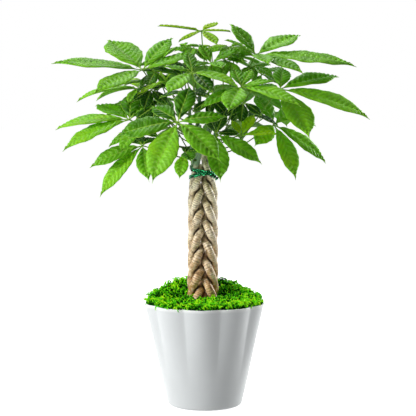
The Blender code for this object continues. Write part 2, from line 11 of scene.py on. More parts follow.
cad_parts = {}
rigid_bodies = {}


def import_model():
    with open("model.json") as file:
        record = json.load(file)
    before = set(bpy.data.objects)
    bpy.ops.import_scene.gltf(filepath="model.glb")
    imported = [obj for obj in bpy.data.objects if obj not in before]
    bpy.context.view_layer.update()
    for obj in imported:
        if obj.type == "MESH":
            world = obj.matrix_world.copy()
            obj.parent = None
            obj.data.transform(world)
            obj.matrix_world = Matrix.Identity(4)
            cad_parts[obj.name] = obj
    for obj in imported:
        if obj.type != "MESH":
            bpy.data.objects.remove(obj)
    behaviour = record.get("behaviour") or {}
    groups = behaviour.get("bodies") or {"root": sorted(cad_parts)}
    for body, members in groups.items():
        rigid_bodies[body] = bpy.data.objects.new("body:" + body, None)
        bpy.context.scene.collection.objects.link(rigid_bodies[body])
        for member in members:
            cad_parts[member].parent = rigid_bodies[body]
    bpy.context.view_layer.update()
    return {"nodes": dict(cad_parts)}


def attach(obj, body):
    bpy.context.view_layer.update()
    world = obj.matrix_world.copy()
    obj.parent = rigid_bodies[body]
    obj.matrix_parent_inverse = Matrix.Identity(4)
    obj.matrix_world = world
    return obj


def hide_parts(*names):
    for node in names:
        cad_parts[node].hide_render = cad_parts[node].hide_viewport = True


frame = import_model()
mm = 0.001
print("frame loaded:", len(frame["nodes"]), "nodes")


# Helpers for meshes and pieces

def smooth(value):
    value = np.clip(value, 0.0, 1.0)
    return value * value * (3 - 2 * value)


def unit(vectors):
    return vectors / np.linalg.norm(vectors, axis=-1, keepdims=True)


def noiseAt(spots):
    return np.array([noise.noise(Vector(spot)) for spot in spots])


# Points at the angles round the upright axis; radius and height are one number or one for each angle.
def ringPoints(angles, radius, height):
    return np.stack([radius * np.cos(angles), radius * np.sin(angles), height + 0 * angles], axis=1)


# Several meshes' points and faces as one.
def joined(parts):
    points, faces, start = [], [], 0
    for spots, corners in parts:
        points.append(spots)
        faces += [[corner + start for corner in face] for face in corners]
        start += len(spots)
    return np.concatenate(points), faces


def meshFrom(name, points, faces, values=None, flat=False):
    mesh = bpy.data.meshes.new(name)
    mesh.from_pydata(np.asarray(points, float).tolist(), [], [list(face) for face in faces])
    for title, numbers in (values or {}).items():
        layer = mesh.attributes.new(title, "FLOAT", "POINT")
        layer.data.foreach_set("value", np.asarray(numbers, np.float32))
    if not flat:
        mesh.shade_smooth()
    mesh.update()
    return mesh


def addPiece(name, mesh, material, nodes):
    piece = bpy.data.objects.new(name, mesh)
    bpy.context.scene.collection.objects.link(piece)
    mesh.materials.clear()
    mesh.materials.append(material)
    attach(piece, "root")
    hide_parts(*nodes)
    return piece


# Quads of a grid of points, row after row.
def gridFaces(rows, columns, wrap=False):
    across = np.arange(columns if wrap else columns - 1)
    onward = (across + 1) % columns
    low = np.arange(rows - 1)[:, None] * columns
    return np.stack([low + across, low + onward, low + columns + onward, low + columns + across],
                    axis=-1).reshape(-1, 4)


# Helpers for materials

def newMaterial(name, **sockets):
    material = bpy.data.materials.new(name)
    material.use_nodes = True
    shader = material.node_tree.nodes["Principled BSDF"]
    for title, value in sockets.items():
        shader.inputs[title.replace("_", " ")].default_value = value
    return material, material.node_tree, shader


def add(tree, kind, values=None, **settings):
    node = tree.nodes.new(kind)
    for title, value in settings.items():
        setattr(node, title, value)
    for socket, value in (values or {}).items():
        if isinstance(value, bpy.types.NodeSocket):
            tree.links.new(value, node.inputs[socket])
        else:
            node.inputs[socket].default_value = value
    return node


def calc(tree, operation, *values):
    return add(tree, "ShaderNodeMath", dict(enumerate(values)), operation=operation).outputs[0]


def times(tree, first, *others):
    for other in others:
        first = calc(tree, "MULTIPLY", first, other)
    return first


def plus(tree, first, *others):
    for other in others:
        first = calc(tree, "ADD", first, other)
    return first


def reads(tree, title):
    return add(tree, "ShaderNodeAttribute", attribute_name=title).outputs["Fac"]


# From low to high as the value goes from start to end, eased at both.
def fade(tree, value, start, end, low=0.0, high=1.0):
    return add(tree, "ShaderNodeMapRange", {0: value, 1: start, 2: end, 3: low, 4: high},
               interpolation_type="SMOOTHSTEP").outputs[0]


def mixed(tree, share, first, second):
    node = add(tree, "ShaderNodeMix", {0: share}, data_type="RGBA")
    for socket, value in ((6, first), (7, second)):
        if isinstance(value, bpy.types.NodeSocket):
            tree.links.new(value, node.inputs[socket])
        else:
            node.inputs[socket].default_value = (*value, 1.0)
    return node.outputs[2]


# Each layer is laid over the last one, from none of it to the most as its value goes from start to end.
def layered(tree, colour, *layers):
    for value, start, end, most, over in layers:
        colour = mixed(tree, fade(tree, value, start, end, 0.0, most), colour, over)
    return colour


def speckle(tree, scale, detail=3.0, roughness=0.55):
    place = add(tree, "ShaderNodeTexCoord").outputs["Object"]
    return add(tree, "ShaderNodeTexNoise", {"Vector": place, "Scale": scale, "Detail": detail,
                                            "Roughness": roughness}).outputs["Fac"]


def plug(tree, shader, **sockets):
    for title, value in sockets.items():
        tree.links.new(value, shader.inputs[title.replace("_", " ")])


def bump(tree, shader, height, distance, strength=1.0):
    node = add(tree, "ShaderNodeBump", {"Height": height, "Distance": distance, "Strength": strength})
    plug(tree, shader, Normal=node.outputs[0])


# Camera, floor and light

studio = {
    "cameraPlace": (0.0039, -1.70, 0.385),
    "cameraTilt": 4.598,            # degrees below level
    "lens": 117.69,                 # mm on a 36 mm sensor
    "floorSize": 30.0,
    "floorColour": (0.86, 0.86, 0.86, 1.0),
    "floorGlow": 0.76,
    "around": 0.17,                 # light from every side
    "below": 0.42,                  # added from below, as off a white table
    "behind": 0.32,                 # added from behind
    "backdrop": 1.0,                # what the camera sees behind the object
    "lamps": (
        # name, place, size, watts
        ("key", (-1.60, -0.85, 0.95), 0.9, 36.0),
        ("back_top", (-0.20, 0.70, 1.60), 1.0, 10.0),
        ("rim", (1.30, 0.90, 0.75), 0.8, 24.0),
    ),
    "lampAim": (0.0, 0.0, 0.25),
}


def buildStudio(s):
    scene = bpy.context.scene
    camera = bpy.data.objects.new("camera", bpy.data.cameras.new("camera"))
    camera.location = s["cameraPlace"]
    camera.rotation_euler = (math.radians(90 - s["cameraTilt"]), 0, 0)
    camera.data.lens = s["lens"]
    camera.data.sensor_width = 36
    camera.data.clip_start = 0.05
    scene.collection.objects.link(camera)
    scene.camera = camera
    for name, place, size, watts in s["lamps"]:
        lamp = bpy.data.lights.new(name, "AREA")
        lamp.size = size
        lamp.energy = watts
        holder = bpy.data.objects.new(name, lamp)
        holder.location = place
        aim = Vector(s["lampAim"]) - Vector(place)
        holder.rotation_euler = aim.to_track_quat("-Z", "Y").to_euler()
        scene.collection.objects.link(holder)
    half = s["floorSize"] / 2
    corners = [(-half, -half, 0), (half, -half, 0), (half, half, 0), (-half, half, 0)]
    floor = bpy.data.objects.new("floor", meshFrom("floor", corners, [(0, 1, 2, 3)]))
    scene.collection.objects.link(floor)
    material, tree, shader = newMaterial("pale_floor", Base_Color=s["floorColour"], Roughness=0.9)
    shader.inputs["Emission Color"].default_value = (1, 1, 1, 1)
    shader.inputs["Emission Strength"].default_value = s["floorGlow"]
    floor.data.materials.append(material)
    floor.visible_diffuse = False   # its glow whitens the picture and doesn't light the object
    world = bpy.data.worlds.new("studio")
    scene.world = world
    world.use_nodes = True
    tree = world.node_tree
    tree.nodes.clear()
    around = add(tree, "ShaderNodeTexCoord").outputs["Generated"]
    way = add(tree, "ShaderNodeSeparateXYZ", {0: around}).outputs
    light = plus(tree, fade(tree, way[2], 0.05, -0.45, 0, s["below"]), s["around"],
                 fade(tree, way[1], -0.3, 0.8, 0, s["behind"]))
    seen = add(tree, "ShaderNodeLightPath").outputs["Is Camera Ray"]
    strength = add(tree, "ShaderNodeMix", {0: seen, 2: light, 3: s["backdrop"]}).outputs[0]
    glow = add(tree, "ShaderNodeBackground", {"Color": (1, 1, 1, 1), "Strength": strength})
    out = add(tree, "ShaderNodeOutputWorld")
    tree.links.new(glow.outputs[0], out.inputs["Surface"])
    scene.view_settings.view_transform = "Standard"


buildStudio(studio)
print("studio ready")


# Pot: a flared shell with ten soft lobes

pot = {
    "height": 0.130,
    "rimRadius": 0.0770,
    "baseRadius": 0.0464,
    "baseRound": 0.003,
    "wall": 0.0030,
    "floor": 0.006,
    "lobes": 10,
    "lobeDepth": 0.0042,
    "groovesFrom": 0.18,
    "grooveSoft": 0.01,
    "grooveAt": math.radians(-90 - 20.8),
    "around": 360,
    "glaze": (0.720, 0.752, 0.757),
    "cloud": (0.702, 0.7332, 0.738075),
    # lip: the rounded top of the rim, painted lighter as a painted highlight
    "lip": (0.90, 0.92, 0.92),
}


def potRadius(angle, z):
    share = z / pot["height"]
    radius = pot["baseRadius"] + (pot["rimRadius"] - pot["baseRadius"]) * share
    wave = np.sin(pot["lobes"] / 2 * (angle - pot["grooveAt"])) ** 2
    groove = 1 - np.sqrt((wave + pot["grooveSoft"]) / (1 + pot["grooveSoft"]))
    depth = pot["lobeDepth"] * smooth((share - pot["groovesFrom"]) / (1 - pot["groovesFrom"]))
    return radius - depth * groove


def potMesh():
    angles = np.linspace(0, 2 * math.pi, pot["around"], endpoint=False)
    wall, foot = pot["wall"], pot["baseRound"]
    top = pot["height"] - wall / 2
    profile = [(0.0, foot, 0.0)]    # height, inset from the outer wall, lip
    for k in range(1, 9):
        turn = math.pi / 2 * k / 8
        profile.append((foot * (1 - math.cos(turn)), foot * (1 - math.sin(turn)), 0.0))
    for k in range(1, 40):
        profile.append((foot + (top - foot) * k / 40, 0.0, 0.0))
    for k in range(0, 9):
        turn = math.pi * k / 8
        profile.append((top + wall / 2 * math.sin(turn), wall / 2 * (1 - math.cos(turn)), 1.0))
    for k in range(1, 13):
        profile.append((top - (top - pot["floor"]) * k / 12, wall, 0.0))
    rings, lips = [], []
    for z, inset, lip in profile:
        rings.append(ringPoints(angles, potRadius(angles, z) - inset, z))
        lips.append(np.full(len(angles), lip))
    for share, before in ((0.6, 1), (0.2, 0.6)):    # underside and inner floor run in to a small disc
        rings.insert(0, rings[0] * (share, share, 1) / before)
        rings.append(rings[-1] * (share, share, 1) / before)
        lips.insert(0, lips[0])
        lips.append(lips[-1] * 0)
    for k in (0, 1, -2, -1):
        rings[k][:, 2] = 0.0 if k >= 0 else pot["floor"]
    count = len(angles)
    faces = gridFaces(len(rings), count, wrap=True).tolist()
    faces.append(list(range(count))[::-1])
    faces.append(list(range((len(rings) - 1) * count, len(rings) * count)))
    mesh = meshFrom("pot_shell", np.concatenate(rings), faces, {"lip": np.concatenate(lips)})
    mesh.set_sharp_from_angle(angle=math.radians(60))
    return mesh


def glazeMaterial():
    material, tree, shader = newMaterial("satin_glaze", Roughness=0.34, Specular_IOR_Level=0.4)
    cloud = speckle(tree, 26, 3)
    body = layered(tree, pot["glaze"], (cloud, 0.35, 0.65, 1.0, pot["cloud"]))
    # painted highlight: the rounded top of the rim is painted lighter than the body
    body = mixed(tree, reads(tree, "lip"), body, pot["lip"])
    plug(tree, shader, Base_Color=body, Roughness=fade(tree, cloud, 0.3, 0.7, 0.31, 0.38))
    bump(tree, shader, speckle(tree, 240, 2), 0.0002, 0.12)
    return material


addPiece("pot_shell", potMesh(), glazeMaterial(), ["pot"])
print("pot made")


# Soil keeps its solid and gets a crumbly dark finish

soil = {
    "dark": (0.012, 0.007, 0.004),
    "pale": (0.075, 0.045, 0.025),
}


def soilMaterial():
    material, tree, shader = newMaterial("potting_soil", Roughness=0.95)
    crumb = speckle(tree, 420, 6, 0.7)
    colour = layered(tree, soil["dark"], (crumb, 0.35, 0.65, 1.0, soil["pale"]))
    plug(tree, shader, Base_Color=colour)
    bump(tree, shader, crumb, 0.0015)
    return material


bed = frame["nodes"]["soil"]
bed.data.materials.clear()
bed.data.materials.append(soilMaterial())


# Braid: seven stems, each a seventh of a turn behind the one before

braid = {
    "stems": 7,
    "turn": 0.1715,
    "wide": 0.0138,
    "deep": 0.0115,
    "crossing": 0.3,
    "phase": math.radians(-9.5),
    "x": -0.0025,
    "slim": 0.5,
    "pinch": 0.15,
    "pinchFrom": 0.264,
    "pinchOver": 0.028,
    "flare": 0.02,
    "flareBelow": 0.155,
    "flareOver": 0.03,
    "radius": 0.0043,
    "plump": 0.00045,               # how far the bark swells past the plain stems
    "foot": 0.070,
    "soilTop": 0.118,
    "bend": 0.122,                  # where the stems leave the straight
    "tie": 0.2925,
    "top": 0.303,
    "tops": ((-19, 2, 372), (-6, -22, 352), (5, 12, 356), (18, 22, 388), (17, -14, 366), (-1, -2, 344),
             (-6, 24, 398)),
    "freeLead": 14,
    "freeUpright": 0.02,
    "endTaper": 0.5,
    "ringStep": 0.00046,
    "sides": 20,
    "wrinkleStep": 0.0022,
    "wrinkleDeep": 0.00045,
    "greenFrom": (0.288, 0.294, 0.318, 0.292, 0.290, 0.325, 0.300),
    "greenOver": 0.012,
    "tightFrom": 0.275,             # the bark swells less from here up to the tie
    "tightOver": 0.015,
    "tight": 0.85,
    "ringDrift": 0.8,
    "greenCalm": 0.8,               # how much less the green end is wrinkled
    "lump": 0.00035,
    # each of the first four colours has a dark and a pale form, in blotches
    "warm": ((0.66, 0.34, 0.12), (0.95, 0.62, 0.29)),
    "tan": ((0.76, 0.55, 0.31), (1.0, 0.87, 0.60)),
    "olive": ((0.80, 0.70, 0.39), (1.0, 0.94, 0.66)),
    "skin": ((0.055, 0.150, 0.048), (0.13, 0.27, 0.10)),
    # crease: the bark's dark ring lines, with painted shade deepening the creases
    "crease": (0.11, 0.050, 0.020),
    # crest: painted highlight on the bark between the creases
    "crest": (1.0, 0.86, 0.74),
    "fleck": (0.20, 0.12, 0.06),
    "skinFleck": (0.30, 0.27, 0.16),
    # painted shade between stems that lie close together
    "creviceShade": (0.030, 0.015, 0.007),
}


def braidScale(z):
    b = braid
    return 1 + b["slim"] * (b["tie"] - z) - b["pinch"] * smooth((z - b["pinchFrom"]) / b["pinchOver"])


def braidPoint(stem, z):
    b = braid
    turn = 2 * math.pi * (z / b["turn"] + stem / b["stems"]) + b["phase"]
    size = braidScale(z) * (1 + b["flare"] * smooth((b["flareBelow"] - z) / b["flareOver"]))
    x = size * b["wide"] * math.sin(turn)
    y = size * b["deep"] * (math.sin(2 * turn) + b["crossing"] * math.sin(4 * turn))
    return Vector((b["x"] + x, y, z))


def cubic(start, first, second, end, s):
    r = 1 - s
    return start * r ** 3 + first * (3 * s * r * r) + second * (3 * s * s * r) + end * s ** 3


# The same path as the solid's, with finer steps.
def stemPath(stem):
    b = braid
    points = [braidPoint(stem, b["bend"])]
    points.insert(0, Vector((points[0].x, points[0].y, b["foot"])))
    for k in range(1, 121):
        points.append(braidPoint(stem, b["bend"] + (b["top"] - b["bend"]) * k / 120))
    start = points[-1]
    top = Vector(b["tops"][stem]) * mm
    first = start + (braidPoint(stem, b["top"] + mm) - start) * b["freeLead"]
    second = top - Vector((0, 0, b["freeUpright"]))
    for k in range(1, 41):
        points.append(cubic(start, first, second, top, k / 40))
    return points


def stemRadius(z, top):
    b = braid
    radius = b["radius"] * braidScale(min(max(z, b["soilTop"]), b["top"]))
    if z > b["top"]:
        radius *= 1 - b["endTaper"] * (z - b["top"]) / (top - b["top"])
    return radius


# Points at even steps along the path, and how far along each one is.
def evenly(points, step):
    path = np.array([tuple(p) for p in points])
    lengths = np.concatenate([[0], np.cumsum(np.linalg.norm(np.diff(path, axis=0), axis=1))])
    at = np.linspace(0, lengths[-1], max(2, round(lengths[-1] / step) + 1))
    return np.stack([np.interp(at, lengths, path[:, k]) for k in range(3)], axis=1), at


# Tangent and two crosswise directions at each point, with no twist between them.
def framesAlong(path):
    tangents = unit(np.gradient(path, axis=0))
    first = np.zeros_like(tangents)
    guide = np.array([0.0, 1.0, 0.0]) if abs(tangents[0, 1]) < 0.9 else np.array([1.0, 0.0, 0.0])
    for k, tangent in enumerate(tangents):
        guide = unit(guide - tangent * guide.dot(tangent))
        first[k] = guide
    return tangents, first, np.cross(tangents, first)


# Rings round the path; radii is one number for each ring, or for each point of each ring.
def tubePoints(path, radii, sides):
    tangents, first, second = framesAlong(path)
    angles = np.linspace(0, 2 * math.pi, sides, endpoint=False)
    cos, sin = np.cos(angles)[None, :, None], np.sin(angles)[None, :, None]
    spokes = first[:, None] * cos + second[:, None] * sin
    radii = np.broadcast_to(np.asarray(radii).reshape(len(path), -1), (len(path), sides))
    return path[:, None] + spokes * radii[..., None]


# Faces of a tube with closed ends, as quads and two fans round added end points.
def tubeFaces(rings, sides):
    faces = gridFaces(rings, sides, wrap=True).tolist()
    last = (rings - 1) * sides
    low = rings * sides
    for k in range(sides):
        faces.append([(k + 1) % sides, k, low])
        faces.append([last + k, last + (k + 1) % sides, low + 1])
    return faces


# How far each point lies from the skin of the nearest other stem; the bark is painted with shade where this
# is small.
def roomBeside(points, stem):
    nearest = np.full(len(points), 1.0)
    for other in range(braid["stems"]):
        if other == stem:
            continue
        path, along = evenly(stemPath(other), 0.002)
        tree = KDTree(len(path))
        for k, spot in enumerate(path):
            tree.insert(spot, k)
        tree.balance()
        skin = [stemRadius(z, path[-1, 2]) for z in path[:, 2]]
        for k, spot in enumerate(points):
            place, at, away = tree.find(spot)
            nearest[k] = min(nearest[k], away - skin[at])
    return nearest


def stemMesh(stem):
    b = braid
    draw = random.Random(70 + stem)
    path, along = evenly(stemPath(stem), b["ringStep"])
    top = path[-1, 2]
    radii = np.array([stemRadius(z, top) for z in path[:, 2]])
    tight = smooth((path[:, 2] - b["tightFrom"]) / b["tightOver"])
    radii = radii + b["plump"] * (1 - b["tight"] * tight)
    # wrinkles run round the stem, a little unevenly spaced and fading towards the green end
    drift = noiseAt((s * 130, stem * 7.1, 0.0) for s in along)
    ringAt = along / b["wrinkleStep"] + b["ringDrift"] * drift
    green = smooth((path[:, 2] - b["greenFrom"][stem]) / b["greenOver"])
    crease = np.abs(2 * (ringAt % 1) - 1) ** 3
    sides = b["sides"]
    angles = np.linspace(0, 2 * math.pi, sides, endpoint=False)
    shift = draw.uniform(0, 10)
    relief = np.zeros((len(path), sides))
    for k, angle in enumerate(angles):
        right, up = 1.6 * math.cos(angle) + shift, 1.6 * math.sin(angle)
        rough = noiseAt((s * 260, right, up) for s in along)
        local = np.clip(0.75 + 0.9 * rough, 0.0, 1.3)
        relief[:, k] = 0.9 * rough - crease * local
    relief *= (1 - b["greenCalm"] * green)[:, None]
    lumps = noiseAt((s * 45, shift, 3.0) for s in along) * b["lump"]
    rings = tubePoints(path, radii[:, None] + lumps[:, None] + relief * b["wrinkleDeep"], sides)
    points = np.concatenate([rings.reshape(-1, 3), path[:1] - (0, 0, 0.0005), path[-1:] + (0, 0, 0.0012)])
    each = np.repeat(np.arange(len(path)), sides)
    ends = [0, len(path) - 1]
    values = {
        "green": np.concatenate([green[each], green[ends]]),
        "relief": np.concatenate([relief.ravel(), [0, 0]]),
        "room": roomBeside(points, stem) / mm,
    }
    return meshFrom(f"bark_{stem + 1}", points, tubeFaces(len(path), sides), values)


def barkMaterial():
    b = braid
    material, tree, shader = newMaterial("braided_bark", Roughness=0.42, Specular_IOR_Level=0.6)
    relief = reads(tree, "relief")
    place = add(tree, "ShaderNodeTexCoord").outputs["Object"]
    height = add(tree, "ShaderNodeSeparateXYZ", {0: place}).outputs[2]
    blotch = speckle(tree, 70, 4, 0.6)
    fine = speckle(tree, 900, 4, 0.6)
    warm, tan, olive, skin = (
        mixed(tree, fade(tree, blotch, low, high), *b[title])
        for title, low, high in (("warm", 0.42, 0.68), ("tan", 0.35, 0.65), ("olive", 0.38, 0.62),
                                 ("skin", 0.35, 0.65)))
    colour = layered(tree, warm,
                     (height, 0.135, 0.215, 1.0, tan),
                     (height, 0.215, 0.285, 0.75, olive),
                     # dark ring lines, and painted shade in the creases
                     (relief, -0.05, -0.75, 0.85, b["crease"]),
                     # painted highlight on the crests between the creases
                     (relief, 0.02, 0.35, 0.75, b["crest"]),
                     (fine, 0.55, 0.75, 0.35, b["fleck"]),
                     # painted shade where another stem lies close
                     (reads(tree, "room"), 4.4, 1.2, 0.92, b["creviceShade"]))
    skin = layered(tree, skin, (fine, 0.60, 0.75, 0.4, b["skinFleck"]))
    colour = mixed(tree, reads(tree, "green"), colour, skin)
    plug(tree, shader, Base_Color=colour, Roughness=fade(tree, fine, 0.3, 0.7, 0.32, 0.52))
    bump(tree, shader, fine, 0.00035, 0.6)
    return material


bark = barkMaterial()
for number in range(braid["stems"]):
    addPiece(f"bark_{number + 1}", stemMesh(number), bark, [f"stem_{number + 1}"])
print("stems made")


# Tie: a metallic ribbon on wire, wound twice round the braid and twisted at the right front

tie = {
    "knot": math.radians(-62),
    "slant": 0.0068,
    "apart": 0.0018,
    "wide": 0.0043,
    "thick": 0.00022,
    "off": 0.0011,                  # how far the ribbon lies off the plain stems
    "stepsRound": 90,
    "across": 5,
    "crinkle": 0.00042,
    "ragged": 0.22,                 # how much its width varies
    "tailWay": (0.75, 0.35, -0.65),
    "tailLong": 0.0150,
    "tailTwists": 2.2,
    "tailBack": 0.0035,             # the tails start this far behind the knot
    "tailCurl": 0.0009,
    "tailSlim": 0.85,               # share of the band's width
    "knotOut": 0.0016,
    "loops": (0.5, -0.9),           # how two small loops over the knot tilt
    "loopWide": 0.0032,
    "loopOut": 0.0024,
    "loopHigh": 0.0022,
    "loopUp": 0.0008,
    "loopSlim": 0.8,
    "emerald": (0.0, 0.040, 0.014),
    "glint": (0.10, 0.95, 0.36),
}


def tieReach(angle, z):
    reach = 0.0
    for stem in range(braid["stems"]):
        for k in range(-3, 4):
            point = braidPoint(stem, z + k * mm)
            reach = max(reach, (point.x - braid["x"]) * math.cos(angle) + point.y * math.sin(angle))
    return reach + stemRadius(z - 3 * mm, 1.0)


# A crinkled band: ways holds the direction of its width at each point of the path.
def ribbonMesh(path, ways, wide, seed):
    tangents = unit(np.gradient(path, axis=0))
    ways = unit(ways - tangents * (ways * tangents).sum(axis=1)[:, None])
    outs = np.cross(ways, tangents)
    count = tie["across"] + 1
    sides = []
    for face in (1, -1):
        for k in range(count):
            share = (2 * k / tie["across"] - 1) * face
            steps = range(len(path))
            lift = noiseAt((i * 0.55, share * 1.7, seed) for i in steps)
            edge = noiseAt((i * 0.35, share * 0.3, seed + 9) for i in steps)
            sides.append(path + ways * (share * wide / 2 * (1 + tie["ragged"] * edge[:, None]))
                         + outs * (lift[:, None] * 2 * tie["crinkle"] + face * tie["thick"] / 2))
    rings = np.stack(sides, axis=1)
    points = np.concatenate([rings.reshape(-1, 3), rings[:1].mean(axis=1), rings[-1:].mean(axis=1)])
    return points, tubeFaces(len(path), 2 * count)


def tieMesh():
    t = tie
    steps = t["stepsRound"]
    band = []
    for k in range(0, 2 * steps + 1):
        turn = 2 * math.pi * k / steps
        slant = t["slant"] * math.sin(turn / 2) ** 2
        z = braid["tie"] + t["apart"] * math.cos(turn / 4) + (slant if k <= steps else -slant)
        angle = t["knot"] - turn
        reach = tieReach(angle, z) + t["off"]
        band.append((braid["x"] + reach * math.cos(angle), reach * math.sin(angle), z))
    band = np.array(band)
    parts = [ribbonMesh(band, np.tile((0.0, 0.0, 1.0), (len(band), 1)), t["wide"], 1.0)]
    out = np.array((math.cos(t["knot"]), math.sin(t["knot"]), 0.0))
    side = np.array((-out[1], out[0], 0.0))
    way = unit(side * t["tailWay"][0] + out * t["tailWay"][1] + np.array((0, 0, t["tailWay"][2])))
    across = unit(np.cross(way, out))
    over = np.cross(way, across)
    knot = band[0] * 0.5 + band[-1] * 0.5 + out * t["knotOut"]
    up = np.array((0.0, 0.0, 1.0))
    for which in (0, 1):
        spots, ways = [], []
        for k in range(40):
            share = k / 39
            spin = 2 * math.pi * (t["tailTwists"] * share + which / 2)
            turn = across * math.cos(spin) + over * math.sin(spin)
            spots.append(knot + way * (t["tailLong"] * share - t["tailBack"]) + turn * t["tailCurl"])
            ways.append(turn)
        parts.append(ribbonMesh(np.array(spots), np.array(ways), t["wide"] * t["tailSlim"], 20.0 + which))
    for which, tilt in enumerate(t["loops"]):
        spots, ways = [], []
        for k in range(30):
            turn = math.pi * (k / 29 - 0.5) * 1.5
            high = tilt * (t["loopHigh"] * math.sin(turn) + t["loopUp"])
            sideways = t["loopWide"] * math.sin(turn)
            spots.append(knot + side * sideways + out * (t["loopOut"] * math.cos(turn)) + up * high)
            ways.append(up + side * 0.3 * tilt)
        parts.append(ribbonMesh(np.array(spots), np.array(ways), t["wide"] * t["loopSlim"], 40.0 + which))
    return meshFrom("tie_ribbon", *joined(parts), flat=True)


def tieMaterial():
    material, tree, shader = newMaterial("emerald_foil", Metallic=0.92, Roughness=0.22)
    sparkle = speckle(tree, 900, 2)
    colour = layered(tree, tie["emerald"], (sparkle, 0.56, 0.64, 1.0, tie["glint"]))
    plug(tree, shader, Base_Color=colour)
    bump(tree, shader, sparkle, 0.0003, 0.5)
    return material


addPiece("tie_ribbon", tieMesh(), tieMaterial(), ["tie"])
print("tie made")


# Moss: a lumpy mat with curly fronds spread over it

moss = {
    "edge": 0.1330,
    "rise": 0.027,
    "reach": 0.0745,
    "front": 0.12,
    "backFrom": -0.010,
    "backOver": 0.045,
    "lean": 2.2,
    "lump": 0.0015,
    "sink": 0.0028,                 # the mat lies this far under the solid's top, and the fronds fill it
    "edgeRound": 0.006,
    "edgeUnder": 0.001,             # how far under the rim the mat's edge ends
    "edgeCurve": 2.2,
    "edgeCalm": 0.7,                # how much lower the tufts are there
    "tuft": 0.0085,                 # distance between tufts
    "tuftHigh": 0.0026,
    "tuftMiddle": 0.6,
    # painted shade: the moss is darker near the trunk and lighter towards the lip
    "outward": 0.5,                 # the finish brightens towards the lip
    "outwardFrom": 0.65,
    "wallGap": 0.0020,
    "tuck": 0.004,                  # how far the mat reaches in under the outermost bark
    "lift": 0.0004,                 # gap over the soil
    "bareBelow": 0.002,             # under the rim by more than this the mat has no fronds
    "rings": 46,
    "around": 200,
    "frondKinds": 6,
    "frondLong": 0.0105,
    "frondWide": 0.00094,
    "frondTaper": (1.15, 0.55),
    "frondSteps": 9,
    "frondLean": (0.2, 0.9),        # at the foot; each step adds a draw from the bend
    "frondBend": (-0.25, 0.55),
    "frondCurl": (0.5, 1.3),
    "perSquareMetre": 180000,
    "smallest": 0.65,
    "largest": 1.25,
    "tilt": 0.7,
    "sectors": 4,
    # deep is the dark green of the painted shade, bright the lightest green of the painted light
    "deep": (0.002, 0.060, 0.001),
    "green": (0.120, 0.78, 0.003),
    "bright": (0.54, 1.0, 0.012),
}


def mossHeight(x, y):
    m = moss
    spread = np.clip(1 - (x * x + y * y) / m["reach"] ** 2, 0, None)
    back = smooth((y - m["backFrom"]) / m["backOver"])
    rise = m["rise"] * (m["front"] + (1 - m["front"]) * back) * spread * (1 - m["lean"] * x)
    lumps = np.sin(x * 310 + 1.3) * np.sin(y * 290) + 0.8 * np.sin(x * 170 - y * 520)
    return m["edge"] + rise + m["lump"] * lumps * (0.35 + 0.65 * spread)


# How far the braid reaches in one direction, where the moss lies.
def mossHole(angle):
    reach = 0.0
    for stem in range(braid["stems"]):
        for k in range(21):
            point = braidPoint(stem, braid["soilTop"] + 0.002 * k)
            reach = max(reach, point.x * math.cos(angle) + point.y * math.sin(angle))
    return reach + stemRadius(braid["soilTop"], 1.0)


# From 0 in the crevices between tufts to 1 on top of a tuft.
def mossCrest(x, y):
    spot = Vector((x, y, 0.0)) / moss["tuft"]
    nearest = noise.voronoi(spot)[0][0]
    return max(0.0, 1 - nearest ** 2 * 1.3) + 0.25 * noise.noise(spot * 2.3)


def mossMat():
    m = moss
    angles = np.linspace(0, 2 * math.pi, m["around"], endpoint=False)
    wall = potRadius(angles, pot["height"]) - pot["wall"] - m["wallGap"]
    hole = np.array([mossHole(a) for a in angles]) - m["tuck"]
    fall = m["edge"] - m["sink"] - pot["height"] + m["edgeUnder"]
    rings, crests = [], []
    for k in range(m["rings"]):
        share = math.sin(k / (m["rings"] - 1) * math.pi / 2) ** 1.4
        reach = hole + (wall - hole) * share
        ring = ringPoints(angles, reach, 0)
        x, y = ring[:, 0], ring[:, 1]
        edge = np.clip(1 - (wall - reach) / m["edgeRound"], 0, 1)
        drop = fall * (1 - np.sqrt(1 - edge ** m["edgeCurve"]))
        crest = np.array([mossCrest(a, b) for a, b in zip(x, y)])
        tufts = (crest - m["tuftMiddle"]) * m["tuftHigh"] * (1 - m["edgeCalm"] * edge)
        ring[:, 2] = mossHeight(x, y) - m["sink"] - drop + tufts
        rings.append(ring)
        # the stored crest also carries the painted shade near the trunk
        crests.append(crest + m["outward"] * (share - m["outwardFrom"]))
    low = braid["soilTop"] + m["lift"]
    deep = potRadius(angles, low) - pot["wall"] - m["wallGap"]
    crests += [crests[0] * 0] * 2
    rings += [ringPoints(angles, deep, low), ringPoints(angles, hole, low)]
    count = m["around"]
    faces = gridFaces(len(rings), count, wrap=True)
    closing = np.arange(count)
    last = (len(rings) - 1) * count
    onward = (closing + 1) % count
    close = np.stack([last + closing, last + onward, onward, closing], axis=1)
    faces = np.concatenate([faces, close])[:, ::-1]
    points = np.concatenate(rings)
    size = len(points)
    values = {"high": np.zeros(size), "shade": np.full(size, 0.5), "crest": np.concatenate(crests)}
    return meshFrom("moss_mat", points, faces, values)


